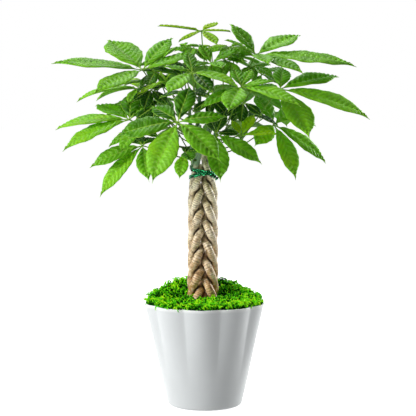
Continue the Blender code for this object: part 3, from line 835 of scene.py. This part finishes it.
# A curly strand: a tapered three-sided tube that wanders as it rises.
def frondMesh(kind):
    m = moss
    draw = random.Random(200 + kind)
    lean = draw.uniform(*m["frondLean"])
    heading = draw.uniform(0, 6.28)
    curl = draw.uniform(*m["frondCurl"]) * draw.choice((-1, 1))
    spots = [np.zeros(3)]
    for k in range(m["frondSteps"]):
        heading += curl
        lean = min(1.9, max(0.1, lean + draw.uniform(*m["frondBend"])))
        way = (math.sin(lean) * math.cos(heading), math.sin(lean) * math.sin(heading), math.cos(lean) + 0.15)
        spots.append(spots[-1] + m["frondLong"] / m["frondSteps"] * np.array(way))
    path = np.array(spots)
    radii = m["frondWide"] * np.linspace(*m["frondTaper"], len(path))
    rings = tubePoints(path, radii, 3)
    points = np.concatenate([rings.reshape(-1, 3), path[:1], path[-1:]])
    high = np.repeat(np.linspace(0, 1, len(path)), 3)
    return meshFrom(f"frond_{kind}", points, tubeFacesTriangles(len(path)), {"high": [*high, 0, 1]})


# A three-sided tube's quads, each split in two, with closed ends.
def tubeFacesTriangles(rings):
    faces = []
    for face in tubeFaces(rings, 3):
        if len(face) == 4:
            faces += [face[:3], [face[0], face[2], face[3]]]
        else:
            faces.append(face)
    return faces


# Spreads the fronds over a surface. One seeded draw turns and tilts them all, and each has its own size
# and shade.
def frondTree(kinds):
    tree = bpy.data.node_groups.new("moss_fronds", "GeometryNodeTree")
    face = tree.interface
    face.new_socket("Surface", in_out="INPUT", socket_type="NodeSocketGeometry")
    kindOf = {"Seed": "NodeSocketInt", "Finish": "NodeSocketMaterial"}
    for title in ("Fronds per square metre", "Smallest", "Largest", "Tilt", "Seed", "Finish"):
        face.new_socket(title, in_out="INPUT", socket_type=kindOf.get(title, "NodeSocketFloat"))
    face.new_socket("Moss", in_out="OUTPUT", socket_type="NodeSocketGeometry")
    given = add(tree, "NodeGroupInput").outputs
    spread = add(tree, "GeometryNodeDistributePointsOnFaces",
                 {"Mesh": given["Surface"], "Density": given["Fronds per square metre"],
                  "Seed": given["Seed"]})
    strands = add(tree, "GeometryNodeCollectionInfo",
                  {"Collection": kinds, "Separate Children": True, "Reset Children": True})
    tilt = given["Tilt"]
    back = times(tree, tilt, -1.0)
    low = add(tree, "ShaderNodeCombineXYZ", {0: back, 1: back, 2: 0.0}).outputs[0]
    high = add(tree, "ShaderNodeCombineXYZ", {0: tilt, 1: tilt, 2: 2 * math.pi}).outputs[0]
    spin = add(tree, "FunctionNodeRandomValue", {0: low, 1: high, 7: given["Seed"]},
               data_type="FLOAT_VECTOR")
    turned = add(tree, "FunctionNodeRotateRotation",
                 {"Rotation": spread.outputs["Rotation"], "Rotate By": spin.outputs[0]},
                 rotation_space="LOCAL")
    size = add(tree, "FunctionNodeRandomValue", {2: given["Smallest"], 3: given["Largest"]},
               data_type="FLOAT")
    placed = add(tree, "GeometryNodeInstanceOnPoints",
                 {"Points": spread.outputs["Points"], "Instance": strands.outputs[0], "Pick Instance": True,
                  "Rotation": turned.outputs[0], "Scale": size.outputs[1]})
    shade = add(tree, "FunctionNodeRandomValue", {8: 77}, data_type="FLOAT")
    kept = add(tree, "GeometryNodeStoreNamedAttribute",
               {"Geometry": placed.outputs[0], "Name": "shade", "Value": shade.outputs[1]},
               data_type="FLOAT", domain="INSTANCE")
    real = add(tree, "GeometryNodeRealizeInstances", {"Geometry": kept.outputs[0]})
    finished = add(tree, "GeometryNodeSetMaterial",
                   {"Geometry": real.outputs[0], "Material": given["Finish"]})
    out = add(tree, "NodeGroupOutput")
    tree.links.new(finished.outputs[0], out.inputs[0])
    return tree


def mossMaterial():
    material, tree, shader = newMaterial("bright_moss", Roughness=0.8, Specular_IOR_Level=0.08)
    # painted shade and light: darker at the strands' feet, in the crevices between tufts and near the trunk,
    # lighter on tuft tops and strand tips; the per-strand draw and the patches vary the tone at random
    crest = fade(tree, reads(tree, "crest"), 0.25, 1.0, -0.22, 0.16)
    patch = fade(tree, speckle(tree, 55, 3), 0.35, 0.65, -0.14, 0.08)
    level = plus(tree, times(tree, reads(tree, "high"), 0.70), times(tree, reads(tree, "shade"), 0.50),
                 crest, patch)
    colour = layered(tree, moss["deep"],
                     (level, 0.25, 0.70, 1.0, moss["green"]),
                     (level, 0.60, 1.10, 1.0, moss["bright"]))
    plug(tree, shader, Base_Color=colour)
    return material


def buildMoss():
    m = moss
    finish = mossMaterial()
    mat = mossMat()
    kinds = bpy.data.collections.new("frond_kinds")
    for kind in range(m["frondKinds"]):
        strand = bpy.data.objects.new(f"frond_{kind}", frondMesh(kind))
        kinds.objects.link(strand)
    tree = frondTree(kinds)
    sockets = {item.name: item.identifier for item in tree.interface.items_tree if item.in_out == "INPUT"}
    addPiece("moss_mat", mat, finish, ["moss"])
    for sector in range(m["sectors"]):
        work = bmesh.new()
        work.from_mesh(mat)
        gone = []
        for face in work.faces:
            spot = face.calc_center_median()
            turn = math.atan2(spot.y, spot.x) % (2 * math.pi)
            if int(turn / (2 * math.pi) * m["sectors"]) != sector or spot.z < pot["height"] - m["bareBelow"]:
                gone.append(face)
        bmesh.ops.delete(work, geom=gone, context="FACES")
        ground = bpy.data.meshes.new(f"moss_ground_{sector}")
        work.to_mesh(ground)
        work.free()
        holder = bpy.data.objects.new(f"moss_ground_{sector}", ground)
        bpy.context.scene.collection.objects.link(holder)
        spreader = holder.modifiers.new("fronds", "NODES")
        spreader.node_group = tree
        for title, value in (("Fronds per square metre", float(m["perSquareMetre"])),
                             ("Smallest", m["smallest"]), ("Largest", m["largest"]), ("Tilt", m["tilt"]),
                             ("Seed", 11 + sector), ("Finish", finish)):
            spreader[sockets[title]] = value
        graph = bpy.context.evaluated_depsgraph_get()
        made = bpy.data.meshes.new_from_object(holder.evaluated_get(graph))
        made.shade_smooth()
        bpy.data.objects.remove(holder)
        addPiece(f"moss_fronds_{sector + 1}", made, finish, ["moss"])
        print("moss fronds", sector + 1, len(made.polygons), "faces")
    for strand in list(kinds.objects):
        bpy.data.objects.remove(strand)
    bpy.data.collections.remove(kinds)


buildMoss()
print("moss made")


# Leaves: name, stem, height of the foot, hub, the way the leaf faces, the arch of its ribs as % of their
# length, tone from 0 (dark: old leaves, and painted shade inside the crown) to 1 (young), and for each
# leaflet the tip from the hub, in mm, and its width as %. Higher tones also paint light on the outer leaves.

leafList = (
    ("left_high", 0, 352, (-78, 5, 421), (0, -3, 10), 1, 0.60,
     ((-111, -20, 9, 36), (-48, 60, 40, 54), (37, 45, 43, 38), (69, 15, 23, 40), (-56, -60, -28, 42))),
    ("left_thin", 6, 345, (-84, 48, 398), (0, -1, 10), 6, 0.78,
     ((-79, -20, -15, 36), (-59, 40, -15, 38), (-25, 60, 10, 40), (-13, -35, -20, 38))),
    ("left_mid", 0, 325, (-94, -5, 359), (0, -3, 10), 4, 0.66,
     ((-46, 45, 18, 50), (-93, 5, -10, 40), (-81, -30, -36, 40), (33, 40, 24, 42), (1, 45, 36, 44))),
    ("front_centre", 1, 330, (-32, -75, 357), (0, -7, 8), 5, 0.62,
     ((-74, -5, -15, 44), (-30, -35, -70, 44), (52, -35, -45, 42), (59, 5, 7, 36), (14, 40, 38, 44),
      (-34, 30, 18, 46))),
    ("left_low", 0, 312, (-77, -20, 327), (-1, -6, 8), 5, 0.64,
     ((-65, -10, -26, 38), (-52, -20, -62, 29), (10, -45, -41, 36), (12, 48, 7, 40), (-16, 50, 6, 40))),
    ("left_under", 1, 322, (-81, -42, 348), (-2, -5, 8), 4, 0.42,
     ((-36, -10, -21, 36), (-20, -30, -27, 44), (26, -8, -10, 40), (14, 22, 12, 40))),
    ("low_left", 1, 309, (-25, -28, 318), (0, -6, 8), 4, 0.66,
     ((-6, -28, -30, 42), (9, -40, -8, 42), (23, -15, 4, 42), (3, 20, 13, 42))),
    ("low_right", 4, 314, (14, -45, 342), (1, -7, 8), 3, 0.44,
     ((5, -35, -56, 40), (55, -25, -35, 36), (39, 12, 10, 38), (15, 30, 27, 40), (-8, 35, 17, 40))),
    ("right_low", 3, 318, (87, 15, 352), (3, -6, 8), 6, 0.76,
     ((-26, -40, -25, 48), (27, -20, -68, 38), (67, 5, -48, 32), (36, 40, 23, 40), (-24, 40, 38, 40))),
    ("right_mid", 4, 324, (93, -15, 397), (1, -4, 10), 3, 0.66,
     ((33, -55, -60, 44), (111, -10, -34, 39), (76, 35, 16, 42), (6, 45, 27, 44), (-29, 28, 3, 44))),
    ("right_high", 3, 372, (64, 10, 440), (1, -3, 10), 1, 0.62,
     ((14, -60, -13, 40), (56, -55, -23, 38), (125, -10, -12, 40), (58, 35, 26, 50), (-32, 20, 40, 50),
      (-39, -28, 18, 36))),
    ("front_right", 4, 340, (44, -65, 399), (0, -4, 9), 4, 0.56,
     ((-50, -15, -26, 38), (-17, -50, -29, 50), (69, -35, -22, 34), (39, -8, 7, 38), (14, 28, 22, 40),
      (-10, 28, 23, 40))),
    ("front_top", 1, 346, (-15, -55, 416), (0, -3, 9), 4, 0.50,
     ((-30, -40, -25, 46), (25, -35, -25, 42), (56, -25, -17, 36), (49, 5, -8, 42), (-7, 30, 26, 42),
      (-34, 12, 8, 36))),
    ("top_centre", 4, 360, (8, -15, 428), (0, -3, 9), 4, 0.46,
     ((-31, -15, -4, 44), (13, -40, -6, 44), (36, 10, 18, 42), (-15, 20, 25, 42))),
    ("top_small", 6, 392, (-4, 20, 470), (0, -1, 10), 1, 0.95,
     ((-55, -8, 6, 24), (-29, -30, -15, 26), (20, -35, -19, 38), (37, -5, -1, 26), (21, 35, 12, 36))),
    ("top_young", 3, 384, (8, 45, 451), (0, -2, 9), 3, 1.0,
     ((-8, -20, -13, 42), (12, -20, -4, 42), (21, 10, 1, 42), (-14, 5, 1, 42))),
    ("right_yellow", 4, 336, (45, -32, 340), (0, -4, 9), 3, 0.95,
     ((44, -12, 2, 40), (17, 20, 26, 42), (-14, 15, 15, 42))),
    ("inner_left", 6, 368, (-27, 15, 412), (0, -3, 9), 2, 0.24,
     ((-45, 5, 5, 42), (-29, -10, -19, 44), (-15, 35, 25, 42), (21, 30, 14, 42))),
    ("young_left", 0, 366, (-48, -15, 407), (0, -3, 9), 2, 0.90,
     ((-36, -10, -18, 26), (-8, -5, 11, 44), (6, -5, 8, 44))),
    ("inner_right", 3, 358, (73, 40, 416), (0, -2, 9), 2, 0.36,
     ((-52, -20, 15, 40), (-16, -20, -23, 44), (21, -15, -13, 42), (28, 25, 9, 42), (-14, 40, 19, 42))),
    ("inner_top", 3, 382, (32, 16, 450), (0, -4, 9), 3, 0.60,
     ((-30, -18, -8, 42), (-10, -28, -18, 46), (16, -26, -20, 44), (28, -8, -8, 40), (16, 22, 4, 42))),
    ("inner_above", 2, 350, (25, -2, 433), (0, -5, 9), 3, 0.52,
     ((-24, -14, -14, 44), (-4, -26, -24, 46), (20, -20, -24, 44), (28, 4, -2, 40))),
    ("inner_left_high", 0, 358, (-62, 14, 418), (0, -5, 9), 3, 0.18,
     ((-26, -14, -14, 42), (-8, -24, -26, 46), (20, -20, -18, 44), (22, 14, 2, 40), (-20, 20, 4, 40))),
    ("inner_left_mid", 0, 340, (-67, 4, 396), (0, -5, 8), 3, 0.12,
     ((-24, -12, -16, 42), (-8, -22, -26, 46), (20, -18, -24, 44), (12, 22, 4, 40))),
    ("inner_left_low", 1, 336, (-62, -12, 374), (0, -6, 8), 3, 0.10,
     ((-24, -12, -16, 44), (-2, -22, -26, 46), (22, -10, -14, 42), (-4, 22, 8, 40))),
    ("inner_mid", 5, 338, (8, -6, 384), (0, -6, 8), 3, 0.04,
     ((-24, -12, -16, 44), (-4, -20, -28, 46), (20, -14, -22, 44), (26, 8, -2, 40), (-14, 20, 8, 40))),
    ("inner_right_mid", 4, 330, (48, -6, 380), (0, -6, 8), 3, 0.12,
     ((-24, -10, -18, 44), (-4, -18, -26, 46), (22, -12, -18, 44))),
    ("inner_right_high", 3, 376, (62, 22, 426), (0, -5, 9), 3, 0.36,
     ((-26, -12, -8, 44), (-4, -26, -16, 46), (24, -16, -14, 44), (22, 16, 2, 40))),
    ("inner_top_left", 6, 388, (-14, 4, 448), (0, -4, 9), 3, 0.55,
     ((-24, -12, -4, 44), (-6, -26, -14, 46), (18, -18, -14, 44))),
)

# Even fans inside the crown and behind it: name, stem, foot, hub, outward bearing, number of leaflets,
# reach in mm, tone (low tones are painted shade inside and behind the crown)
fanList = (
    ("inner_front", 0, 362, (-20, -28, 392), 250, 5, 42, 0.08),
    ("inner_low", 3, 344, (46, 14, 366), -40, 6, 50, 0.10),
    ("inner_far_left", 6, 372, (-56, 34, 402), 165, 5, 52, 0.16),
    ("top_left", 6, 386, (-28, 36, 450), 150, 5, 46, 0.60),
    ("top_right", 3, 380, (38, 38, 438), 20, 5, 48, 0.50),
    ("back_left", 6, 330, (-72, 72, 380), 135, 6, 74, 0.40),
    ("back_middle", 6, 382, (-18, 72, 420), 100, 6, 72, 0.40),
    ("back_right", 3, 350, (48, 74, 396), 62, 6, 76, 0.40),
    ("back_far_right", 3, 335, (86, 62, 366), 35, 6, 66, 0.50),
    ("back_low_left", 6, 316, (-38, 66, 346), 115, 5, 66, 0.25),
    ("back_low_right", 3, 326, (32, 68, 350), 75, 5, 66, 0.25),
    ("back_top", 6, 378, (-46, 66, 430), 125, 5, 52, 0.50),
)

# Tone of each leaflet, where the leaflets of a leaf differ: low tones are painted shade on leaflets that
# others hide from the light, high tones painted light
leafletToneAndShade = {
    "left_high": (0.60, 0.56, 0.50, 0.50, 0.64),
    "left_mid": (0.38, 0.72, 0.74, 0.22, 0.22),
    "front_centre": (0.34, 0.72, 0.58, 0.32, 0.20, 0.16),
    "left_low": (0.54, 0.72, 0.56, 0.16, 0.16),
    "left_under": (0.46, 0.56, 0.26, 0.14),
    "low_left": (0.74, 0.40, 0.20, 0.14),
    "low_right": (0.62, 0.62, 0.10, 0.12, 0.10),
    "right_low": (0.76, 0.74, 0.62, 0.52, 0.40),
    "right_mid": (0.74, 0.68, 0.56, 0.46, 0.40),
    "right_high": (0.56, 0.56, 0.64, 0.58, 0.52, 0.60),
    "front_right": (0.40, 0.58, 0.66, 0.52, 0.48, 0.36),
    "front_top": (0.60, 0.12, 0.74, 0.40, 0.34, 0.34),
}

leaf = {
    "fanArch": 0.08,
    "fanBreadth": 0.42,
    "fanLean": 0.3,
    "fanOpen": 0.6,
    "fanUneven": 0.28,
    "fanTilt": 0.26,
    "fanDroop": 0.10,
    "fanJitter": 0.08,
    "fanSeed": 40,
    "swings": (0, -0.08, 0.08, -0.16, 0.16, -0.24, 0.24, -0.32, 0.32, -0.4, 0.4),
    "shorter": (1.0, 0.9, 0.8, 0.7, 0.6),
    "sways": (0, 3, -3, 6, -6, 9, -9, 12, -12, 16, -16, 20, -20),
    "rows": 90,
    "columns": 13,
    "widest": 1.15,                 # where the blade is widest: higher is nearer the tip
    "dripFrom": 0.74,               # where it starts to draw in to its slender tip
    "full": 1.05,                   # powers of the outline: the foot and the tip add to the first
    "footSlim": 0.35,
    "tipSlim": 0.95,
    "veinStep": 0.0070,             # distance between side veins
    "quilt": 0.00250,               # how far the blade puffs up between them
    "quiltSharp": 2.4,
    "quiltFrom": (0.07, 0.08),      # where the relief fades in, and over how much of the length
    "quiltTo": (0.93, 0.06),        # and out again
    "thick": 0.00036,
    "notchDeep": 0.025,             # shallow notches in the edge, as a share of the width
    "notches": 2.7,                 # for each wave
    "veinLean": 0.55,               # the side veins run out and towards the tip
    "veinCurve": 0.40,
    "veinShift": 0.37,              # those of the two halves don't meet
    "ribBelow": 0.000845,           # how far the rib stands out
    "ribAbove": 0.0001625,
    "ribWide": 0.00090,
    "petiole": 0.00082,
    "petioleIn": 0.45,              # it starts this share of the way in to the stem's middle
    "petioleGap": 0.0006,
    "petioleReach": 0.30,
    "petioleSteps": 36,
    "petioleSides": 8,
    "petioleOver": 0.0007,          # it ends this far over the hub, and its cap comes on top
    "petioleCap": 0.0003,
    "tellFrom": 0.0003,             # leaves that lie further off their solids are printed
    # each of these has a lowest and a highest value, drawn for each leaflet
    "bow": (-0.030, 0.030),         # sideways curve of the rib
    "nod": (0.010, 0.035),          # how far the tip hangs
    "waves": (2.2, 3.6),            # along the edge
    "phase": (0, 6.28),
    "ripple": (0.02, 0.05),
    "cup": (0.20, 0.34),            # how far the sides rise from the rib
    "roll": (0.10, 0.19),           # how far the edges turn down again
    "skew": (0.94, 1.06),
    "toneSpread": (-0.05, 0.05),
}

leafColours = {
    # dark green of old leaves, and the colour of painted shade inside the crown
    "oldAndShaded": (0.009, 0.074, 0.002),
    "grown": (0.150, 0.50, 0.008),
    # light: a paler green with painted sheen, for the lit outer leaves
    "light": (0.37, 0.84, 0.045),
    "young": (0.60, 0.84, 0.015),
    # painted shade in the furrows beside the side veins, on grown and on young leaves
    "groove": (0.030, 0.19, 0.002),
    "youngGrooveShade": (0.34, 0.62, 0.010),
    # painted highlight on the puffs between the side veins
    "puckerHighlight": (0.60, 0.92, 0.26),
    "vein": (0.34, 0.62, 0.06),
    "rib": (0.46, 0.74, 0.09),
    "edge": (0.36, 0.66, 0.03),
    "foot": (0.36, 0.62, 0.045),
    "under": (0.20, 0.40, 0.10),
    "stalk": (0.075, 0.13, 0.020),
    "youngStalk": (0.20, 0.38, 0.03),
    "through": (0.40, 0.66, 0.02),
}


def nodePoints(node):
    mesh = frame["nodes"][node].data
    points = np.zeros(len(mesh.vertices) * 3, np.float32)
    mesh.vertices.foreach_get("co", points)
    return np.unique(points.reshape(-1, 3).round(6), axis=0).astype(float)


# Where the solid has the leaflet's tip, which was swung or shortened to clear its neighbours.
def settledTip(corners, hub, tip, face):
    best = None
    for shorter in leaf["shorter"]:
        for swing in leaf["swings"]:
            moved = tip + face * (swing * tip.length)
            moved *= tip.length * shorter / moved.length
            miss = np.linalg.norm(corners - np.array(hub + moved), axis=1).min()
            if best is None or miss < best[0]:
                best = (miss, moved)
    return best


def fanTips(outward, count, reach, seed):
    draw = random.Random(seed)
    tips = []
    for k in range(count):
        turn = 2 * math.pi * (k - (count - 1) / 2) / (count + leaf["fanOpen"])
        turn += draw.uniform(-leaf["fanJitter"], leaf["fanJitter"])
        length = reach * (1 - leaf["fanUneven"] * (1 - math.cos(turn))) * draw.uniform(0.94, 1.06)
        fall = -leaf["fanTilt"] * math.cos(turn) - leaf["fanDroop"]
        fall += draw.uniform(-leaf["fanJitter"], leaf["fanJitter"])
        level = math.sqrt(1 - fall * fall)
        heading = outward + turn
        tips.append(Vector((level * math.cos(heading), level * math.sin(heading), fall)) * length)
    return tips


def allLeaves():
    leaves = []
    for name, stem, foot, hub, face, arch, tone, tips in leafList:
        blades = [(Vector(tip[:3]) * mm, tip[3] / 100, arch / 100) for tip in tips]
        leaves.append((name, stem, foot * mm, Vector(hub) * mm, Vector(face).normalized(), tone, blades))
    for k, (name, stem, foot, hub, outward, count, reach, tone) in enumerate(fanList):
        outward = math.radians(outward)
        lean = leaf["fanLean"]
        face = Vector((lean * math.cos(outward), lean * math.sin(outward), 1)).normalized()
        tips = fanTips(outward, count, reach * mm, leaf["fanSeed"] + k)
        blades = [(tip, leaf["fanBreadth"], leaf["fanArch"]) for tip in tips]
        leaves.append((name, stem, foot * mm, Vector(hub) * mm, face, tone, blades))
    return leaves


# Half the width along the blade, as a share of the widest: a wedge-shaped foot and a slender tip.
def bladeOutline(s):
    swell = np.sin(math.pi * s ** leaf["widest"]).clip(0, 1)
    drip = smooth((s - leaf["dripFrom"]) / (1 - leaf["dripFrom"]))
    power = leaf["full"] + leaf["footSlim"] * (1 - smooth(s / 0.3)) + leaf["tipSlim"] * drip
    return np.maximum(swell ** power * smooth((s + 0.02) / 0.12), 0.030 * (1 - s) + 0.012)


# A thin quilted blade with a midrib and side veins: points, faces and what the finish reads.
def bladePoints(hub, tip, breadth, arch, face, draw):
    length = tip.length
    chord = np.array(tip / length)
    face = np.array(face)
    lift = unit(face - chord * face.dot(chord))
    sideways = np.cross(chord, lift)
    rows, columns = leaf["rows"], leaf["columns"]
    s = np.linspace(0, 1, rows) ** 0.96
    half = np.linspace(-1, 1, columns)
    half = 0.55 * np.sin(half * math.pi / 2) + 0.45 * half
    titles = ("bow", "nod", "waves", "phase", "ripple", "cup", "roll", "skew")
    bow, nod, waves, phase, ripple, cup, roll, skew = (draw.uniform(*leaf[title]) for title in titles)
    # the rib: the solid's arch, with a slight bow and a nodding tip of its own
    rib = (np.array(hub) + np.outer(s, np.array(tip))
           + np.outer(4 * arch * length * s * (1 - s) - nod * length * s ** 6, lift)
           + np.outer(bow * length * np.sin(math.pi * s) * s, sideways))
    tangents = unit(np.gradient(rib, axis=0))
    sides = unit(np.cross(tangents, lift))
    ups = np.cross(sides, tangents)
    # one row for each place along the rib, and columns across the top and back below
    at = np.concatenate([half, half[::-1]])
    under = np.repeat([0.0, 1.0], columns)
    size, right = np.abs(at), at > 0
    wide = (bladeOutline(s) * breadth * length / 2)[:, None] * np.where(right, skew, 2 - skew)
    s = s[:, None]
    notch = 2 * math.pi * waves * leaf["notches"] * s + phase + np.where(right, 1.5, 0)
    wide = wide * (1 + leaf["notchDeep"] * np.sin(notch))
    veins = max(7, round(length / leaf["veinStep"]))
    back = leaf["veinLean"] * size + leaf["veinCurve"] * size ** 2
    vein = (s - wide / length * back) * veins + np.where(right, leaf["veinShift"], 0)
    between = 1 - np.abs(2 * (vein % 1) - 1) ** leaf["quiltSharp"]
    (start, over), (end, last) = leaf["quiltFrom"], leaf["quiltTo"]
    blade = smooth((s - start) / over) * (1 - smooth((s - end) / last))
    puff = leaf["quilt"] * (length / 0.08) ** 0.5 * between * smooth(size / 0.22) * (1 - size ** 5)
    rise = (wide * (cup * size - roll * size ** 2.2) + puff) * blade
    turn = 2 * math.pi * waves * s + phase + np.where(right, 2.1, 0)
    rise = rise + ripple * wide * size ** 2 * np.sin(turn)
    off = at * wide
    ridge = np.exp(-(off / leaf["ribWide"]) ** 2) * (1 - 0.8 * s)
    skin = np.where(under, -leaf["thick"] / 2 - leaf["ribBelow"] * ridge,
                    leaf["thick"] / 2 + leaf["ribAbove"] * ridge)
    points = rib[:, None] + sides[:, None] * off[..., None] + ups[:, None] * (rise + skin)[..., None]
    marks = {"vein": vein, "across": size, "along": s, "offRib": np.abs(off) / mm, "under": under}
    marks = {title: (numbers + 0 * off).ravel() for title, numbers in marks.items()}
    count = 2 * columns
    faces = gridFaces(rows, count, wrap=True)[:, ::-1].tolist()
    ends = []
    for row, turned in ((0, False), (rows - 1, True)):
        for k in range(columns - 1):
            a, b = row * count + k, row * count + k + 1
            c, d = row * count + count - 2 - k, row * count + count - 1 - k
            ends.append([a, b, c, d] if not turned else [d, c, b, a])
    return points.reshape(-1, 3), faces + ends, marks


def stemAt(stem, z):
    points = stemPath(stem)
    for low, high in zip(points, points[1:]):
        if low.z <= z <= high.z:
            share = (z - low.z) / (high.z - low.z)
            return low.lerp(high, share), (high - low).normalized(), stemRadius(z, points[-1].z)


def petiolePath(stem, foot, hub, sway, steps):
    centre, along, radius = stemAt(stem, foot)
    away = Vector((hub.x - centre.x, hub.y - centre.y, 0)).normalized()
    out = (away - along * away.dot(along)).normalized()
    start = centre + out * (radius + leaf["petioleGap"])
    reach = (hub - start).length * leaf["petioleReach"]
    side = Vector((-away.y, away.x, 0)) * sway
    first = start + out * reach + side
    second = hub - (hub - start).normalized() * reach + side * 0.6
    points = [cubic(start, first, second, hub, k / steps) for k in range(steps + 1)]
    return points, centre


# The path whose middle lies in the middle of the solid's own petiole.
def settledPetiole(corners, stem, foot, hub):
    best = None
    for sway in leaf["sways"]:
        points, centre = petiolePath(stem, foot, hub, sway * mm, 6)
        middle = np.array(points[3])
        near = corners[np.argsort(np.linalg.norm(corners - middle, axis=1))[:4]].mean(axis=0)
        miss = np.linalg.norm(near - middle)
        if best is None or miss < best[0] - 1e-5:
            best = (miss, sway)
    return best


def leafMesh(name, stem, foot, hub, face, tone, blades, seed):
    draw = random.Random(seed)
    corners = nodePoints("leaf_" + name)
    parts, values = [], {}
    worst, sway = settledPetiole(corners, stem, foot, hub)
    tones = leafletToneAndShade.get(name, (tone,) * len(blades))
    for (blade, breadth, arch), shade in zip(blades, tones):
        miss, moved = settledTip(corners, hub, blade, face)
        worst = max(worst, miss)
        spots, quads, marks = bladePoints(hub, moved, breadth, arch, face, draw)
        parts.append((spots, quads))
        marks["tone"] = np.full(len(spots), shade + draw.uniform(*leaf["toneSpread"]))
        marks["stalk"] = np.zeros(len(spots))
        for title, numbers in marks.items():
            values.setdefault(title, []).append(numbers)
    path, centre = petiolePath(stem, foot, hub, sway * mm, leaf["petioleSteps"])
    path = np.array([tuple(p) for p in path])
    inside = path[0] + (np.array(centre) - path[0]) * leaf["petioleIn"]
    face = np.array(face)
    path = np.concatenate([[inside], path, [path[-1] + face * leaf["petioleOver"]]])
    share = np.linspace(0, 1, len(path))
    # it swells at the stem and at the hub
    radii = leaf["petiole"] * (1.05 - 0.15 * share + 0.9 * np.exp(-(share / 0.05) ** 2)
                               + np.exp(-((share - 1) / 0.035) ** 2))
    radii[-1] *= 0.6
    rings = tubePoints(path, radii, leaf["petioleSides"])
    spots = np.concatenate([rings.reshape(-1, 3), path[:1], path[-1:] + face * leaf["petioleCap"]])
    parts.append((spots, tubeFaces(len(path), leaf["petioleSides"])))
    each = np.concatenate([np.repeat(share, leaf["petioleSides"]), [0, 1]])
    marks = {"stalk": 0.5 + 0.5 * each, "tone": np.full(len(spots), tone)}
    for title in values:
        values[title].append(marks.get(title, np.zeros(len(spots))))
    values = {title: np.concatenate(numbers) for title, numbers in values.items()}
    return meshFrom("foliage_" + name, *joined(parts), values), worst


def leafMaterial():
    paint = leafColours
    material, tree, shader = newMaterial("leaf_blade", Roughness=0.34, Specular_IOR_Level=0.46,
                                         Specular_Tint=(0.56, 1.0, 0.36, 1.0))
    titles = ("tone", "under", "stalk", "vein", "across", "along", "offRib")
    tone, under, stalk, vein, across, along, offRib = (reads(tree, title) for title in titles)
    tone = plus(tree, tone, fade(tree, speckle(tree, 60, 3), 0.3, 0.7, -0.10, 0.10))
    # old, grown and young greens by tone, with painted shade at low tones and painted light at high ones
    colour = layered(tree, paint["oldAndShaded"],
                     (tone, 0.05, 0.50, 1.0, paint["grown"]),
                     (tone, 0.45, 0.75, 1.0, paint["light"]),
                     (tone, 0.70, 1.00, 1.0, paint["young"]))
    # from 0 on a side vein to a half midway between two
    beside = calc(tree, "ABSOLUTE", calc(tree, "SUBTRACT", calc(tree, "FRACT", plus(tree, vein, 0.5)), 0.5))
    veins = times(tree, fade(tree, beside, 0.07, 0.01, 0.0, 0.35), fade(tree, across, 0.97, 0.75),
                  fade(tree, along, 0.05, 0.12))
    # painted shade in the furrows beside the side veins
    groove = times(tree, fade(tree, beside, 0.30, 0.04, 0.0, 0.30), fade(tree, across, 0.06, 0.25),
                   fade(tree, speckle(tree, 110, 2), 0.40, 0.60, 0.55, 1.0))
    # painted highlight on the puffs between the side veins
    puckerHighlight = times(tree, fade(tree, beside, 0.26, 0.46, 0.0, 0.42), fade(tree, across, 0.95, 0.60),
                   fade(tree, speckle(tree, 90, 2), 0.42, 0.60), fade(tree, tone, 0.1, 0.6))
    ribEdge = fade(tree, along, 0.0, 1.0, 1.0, 0.45)
    rib = times(tree, fade(tree, calc(tree, "DIVIDE", offRib, ribEdge), 1.25, 0.55), 0.85)
    # colour of the painted shade in the furrows
    deep = layered(tree, paint["groove"], (tone, 0.60, 0.95, 1.0, paint["youngGrooveShade"]))
    for share, over in ((groove, deep), (puckerHighlight, paint["puckerHighlight"]), (veins, paint["vein"]),
                        (rib, paint["rib"])):
        colour = mixed(tree, share, colour, over)
    colour = layered(tree, colour,
                     (across, 0.925, 0.99, 0.65, paint["edge"]),
                     (along, 0.13, 0.02, 0.85, paint["foot"]))
    colour = mixed(tree, times(tree, under, 0.55), colour, paint["under"])
    stem = layered(tree, paint["stalk"], (stalk, 0.60, 1.0, 1.0, paint["youngStalk"]))
    colour = layered(tree, colour, (stalk, 0.20, 0.45, 1.0, stem))
    plug(tree, shader, Base_Color=colour, Roughness=fade(tree, under, 0.0, 1.0, 0.34, 0.58))
    relief = plus(tree, times(tree, fade(tree, beside, 0.08, 0.0), -0.6), speckle(tree, 700, 3))
    bump(tree, shader, relief, 0.00018, 0.7)
    through = mixed(tree, 0.5, colour, paint["through"])
    veil = add(tree, "ShaderNodeBsdfTranslucent", {"Color": through})
    thin = fade(tree, tone, 0.0, 1.0, 0.10, 0.52)
    both = add(tree, "ShaderNodeMixShader", {0: thin, 1: shader.outputs[0], 2: veil.outputs[0]})
    tree.links.new(both.outputs[0], tree.nodes["Material Output"].inputs["Surface"])
    return material


blade = leafMaterial()
for number, item in enumerate(allLeaves()):
    mesh, missed = leafMesh(*item, 300 + number)
    addPiece("foliage_" + item[0], mesh, blade, ["leaf_" + item[0]])
    if missed > leaf["tellFrom"]:
        print("leaf", item[0], "lies", round(missed / mm, 2), "mm off its solid")
print("leaves made")
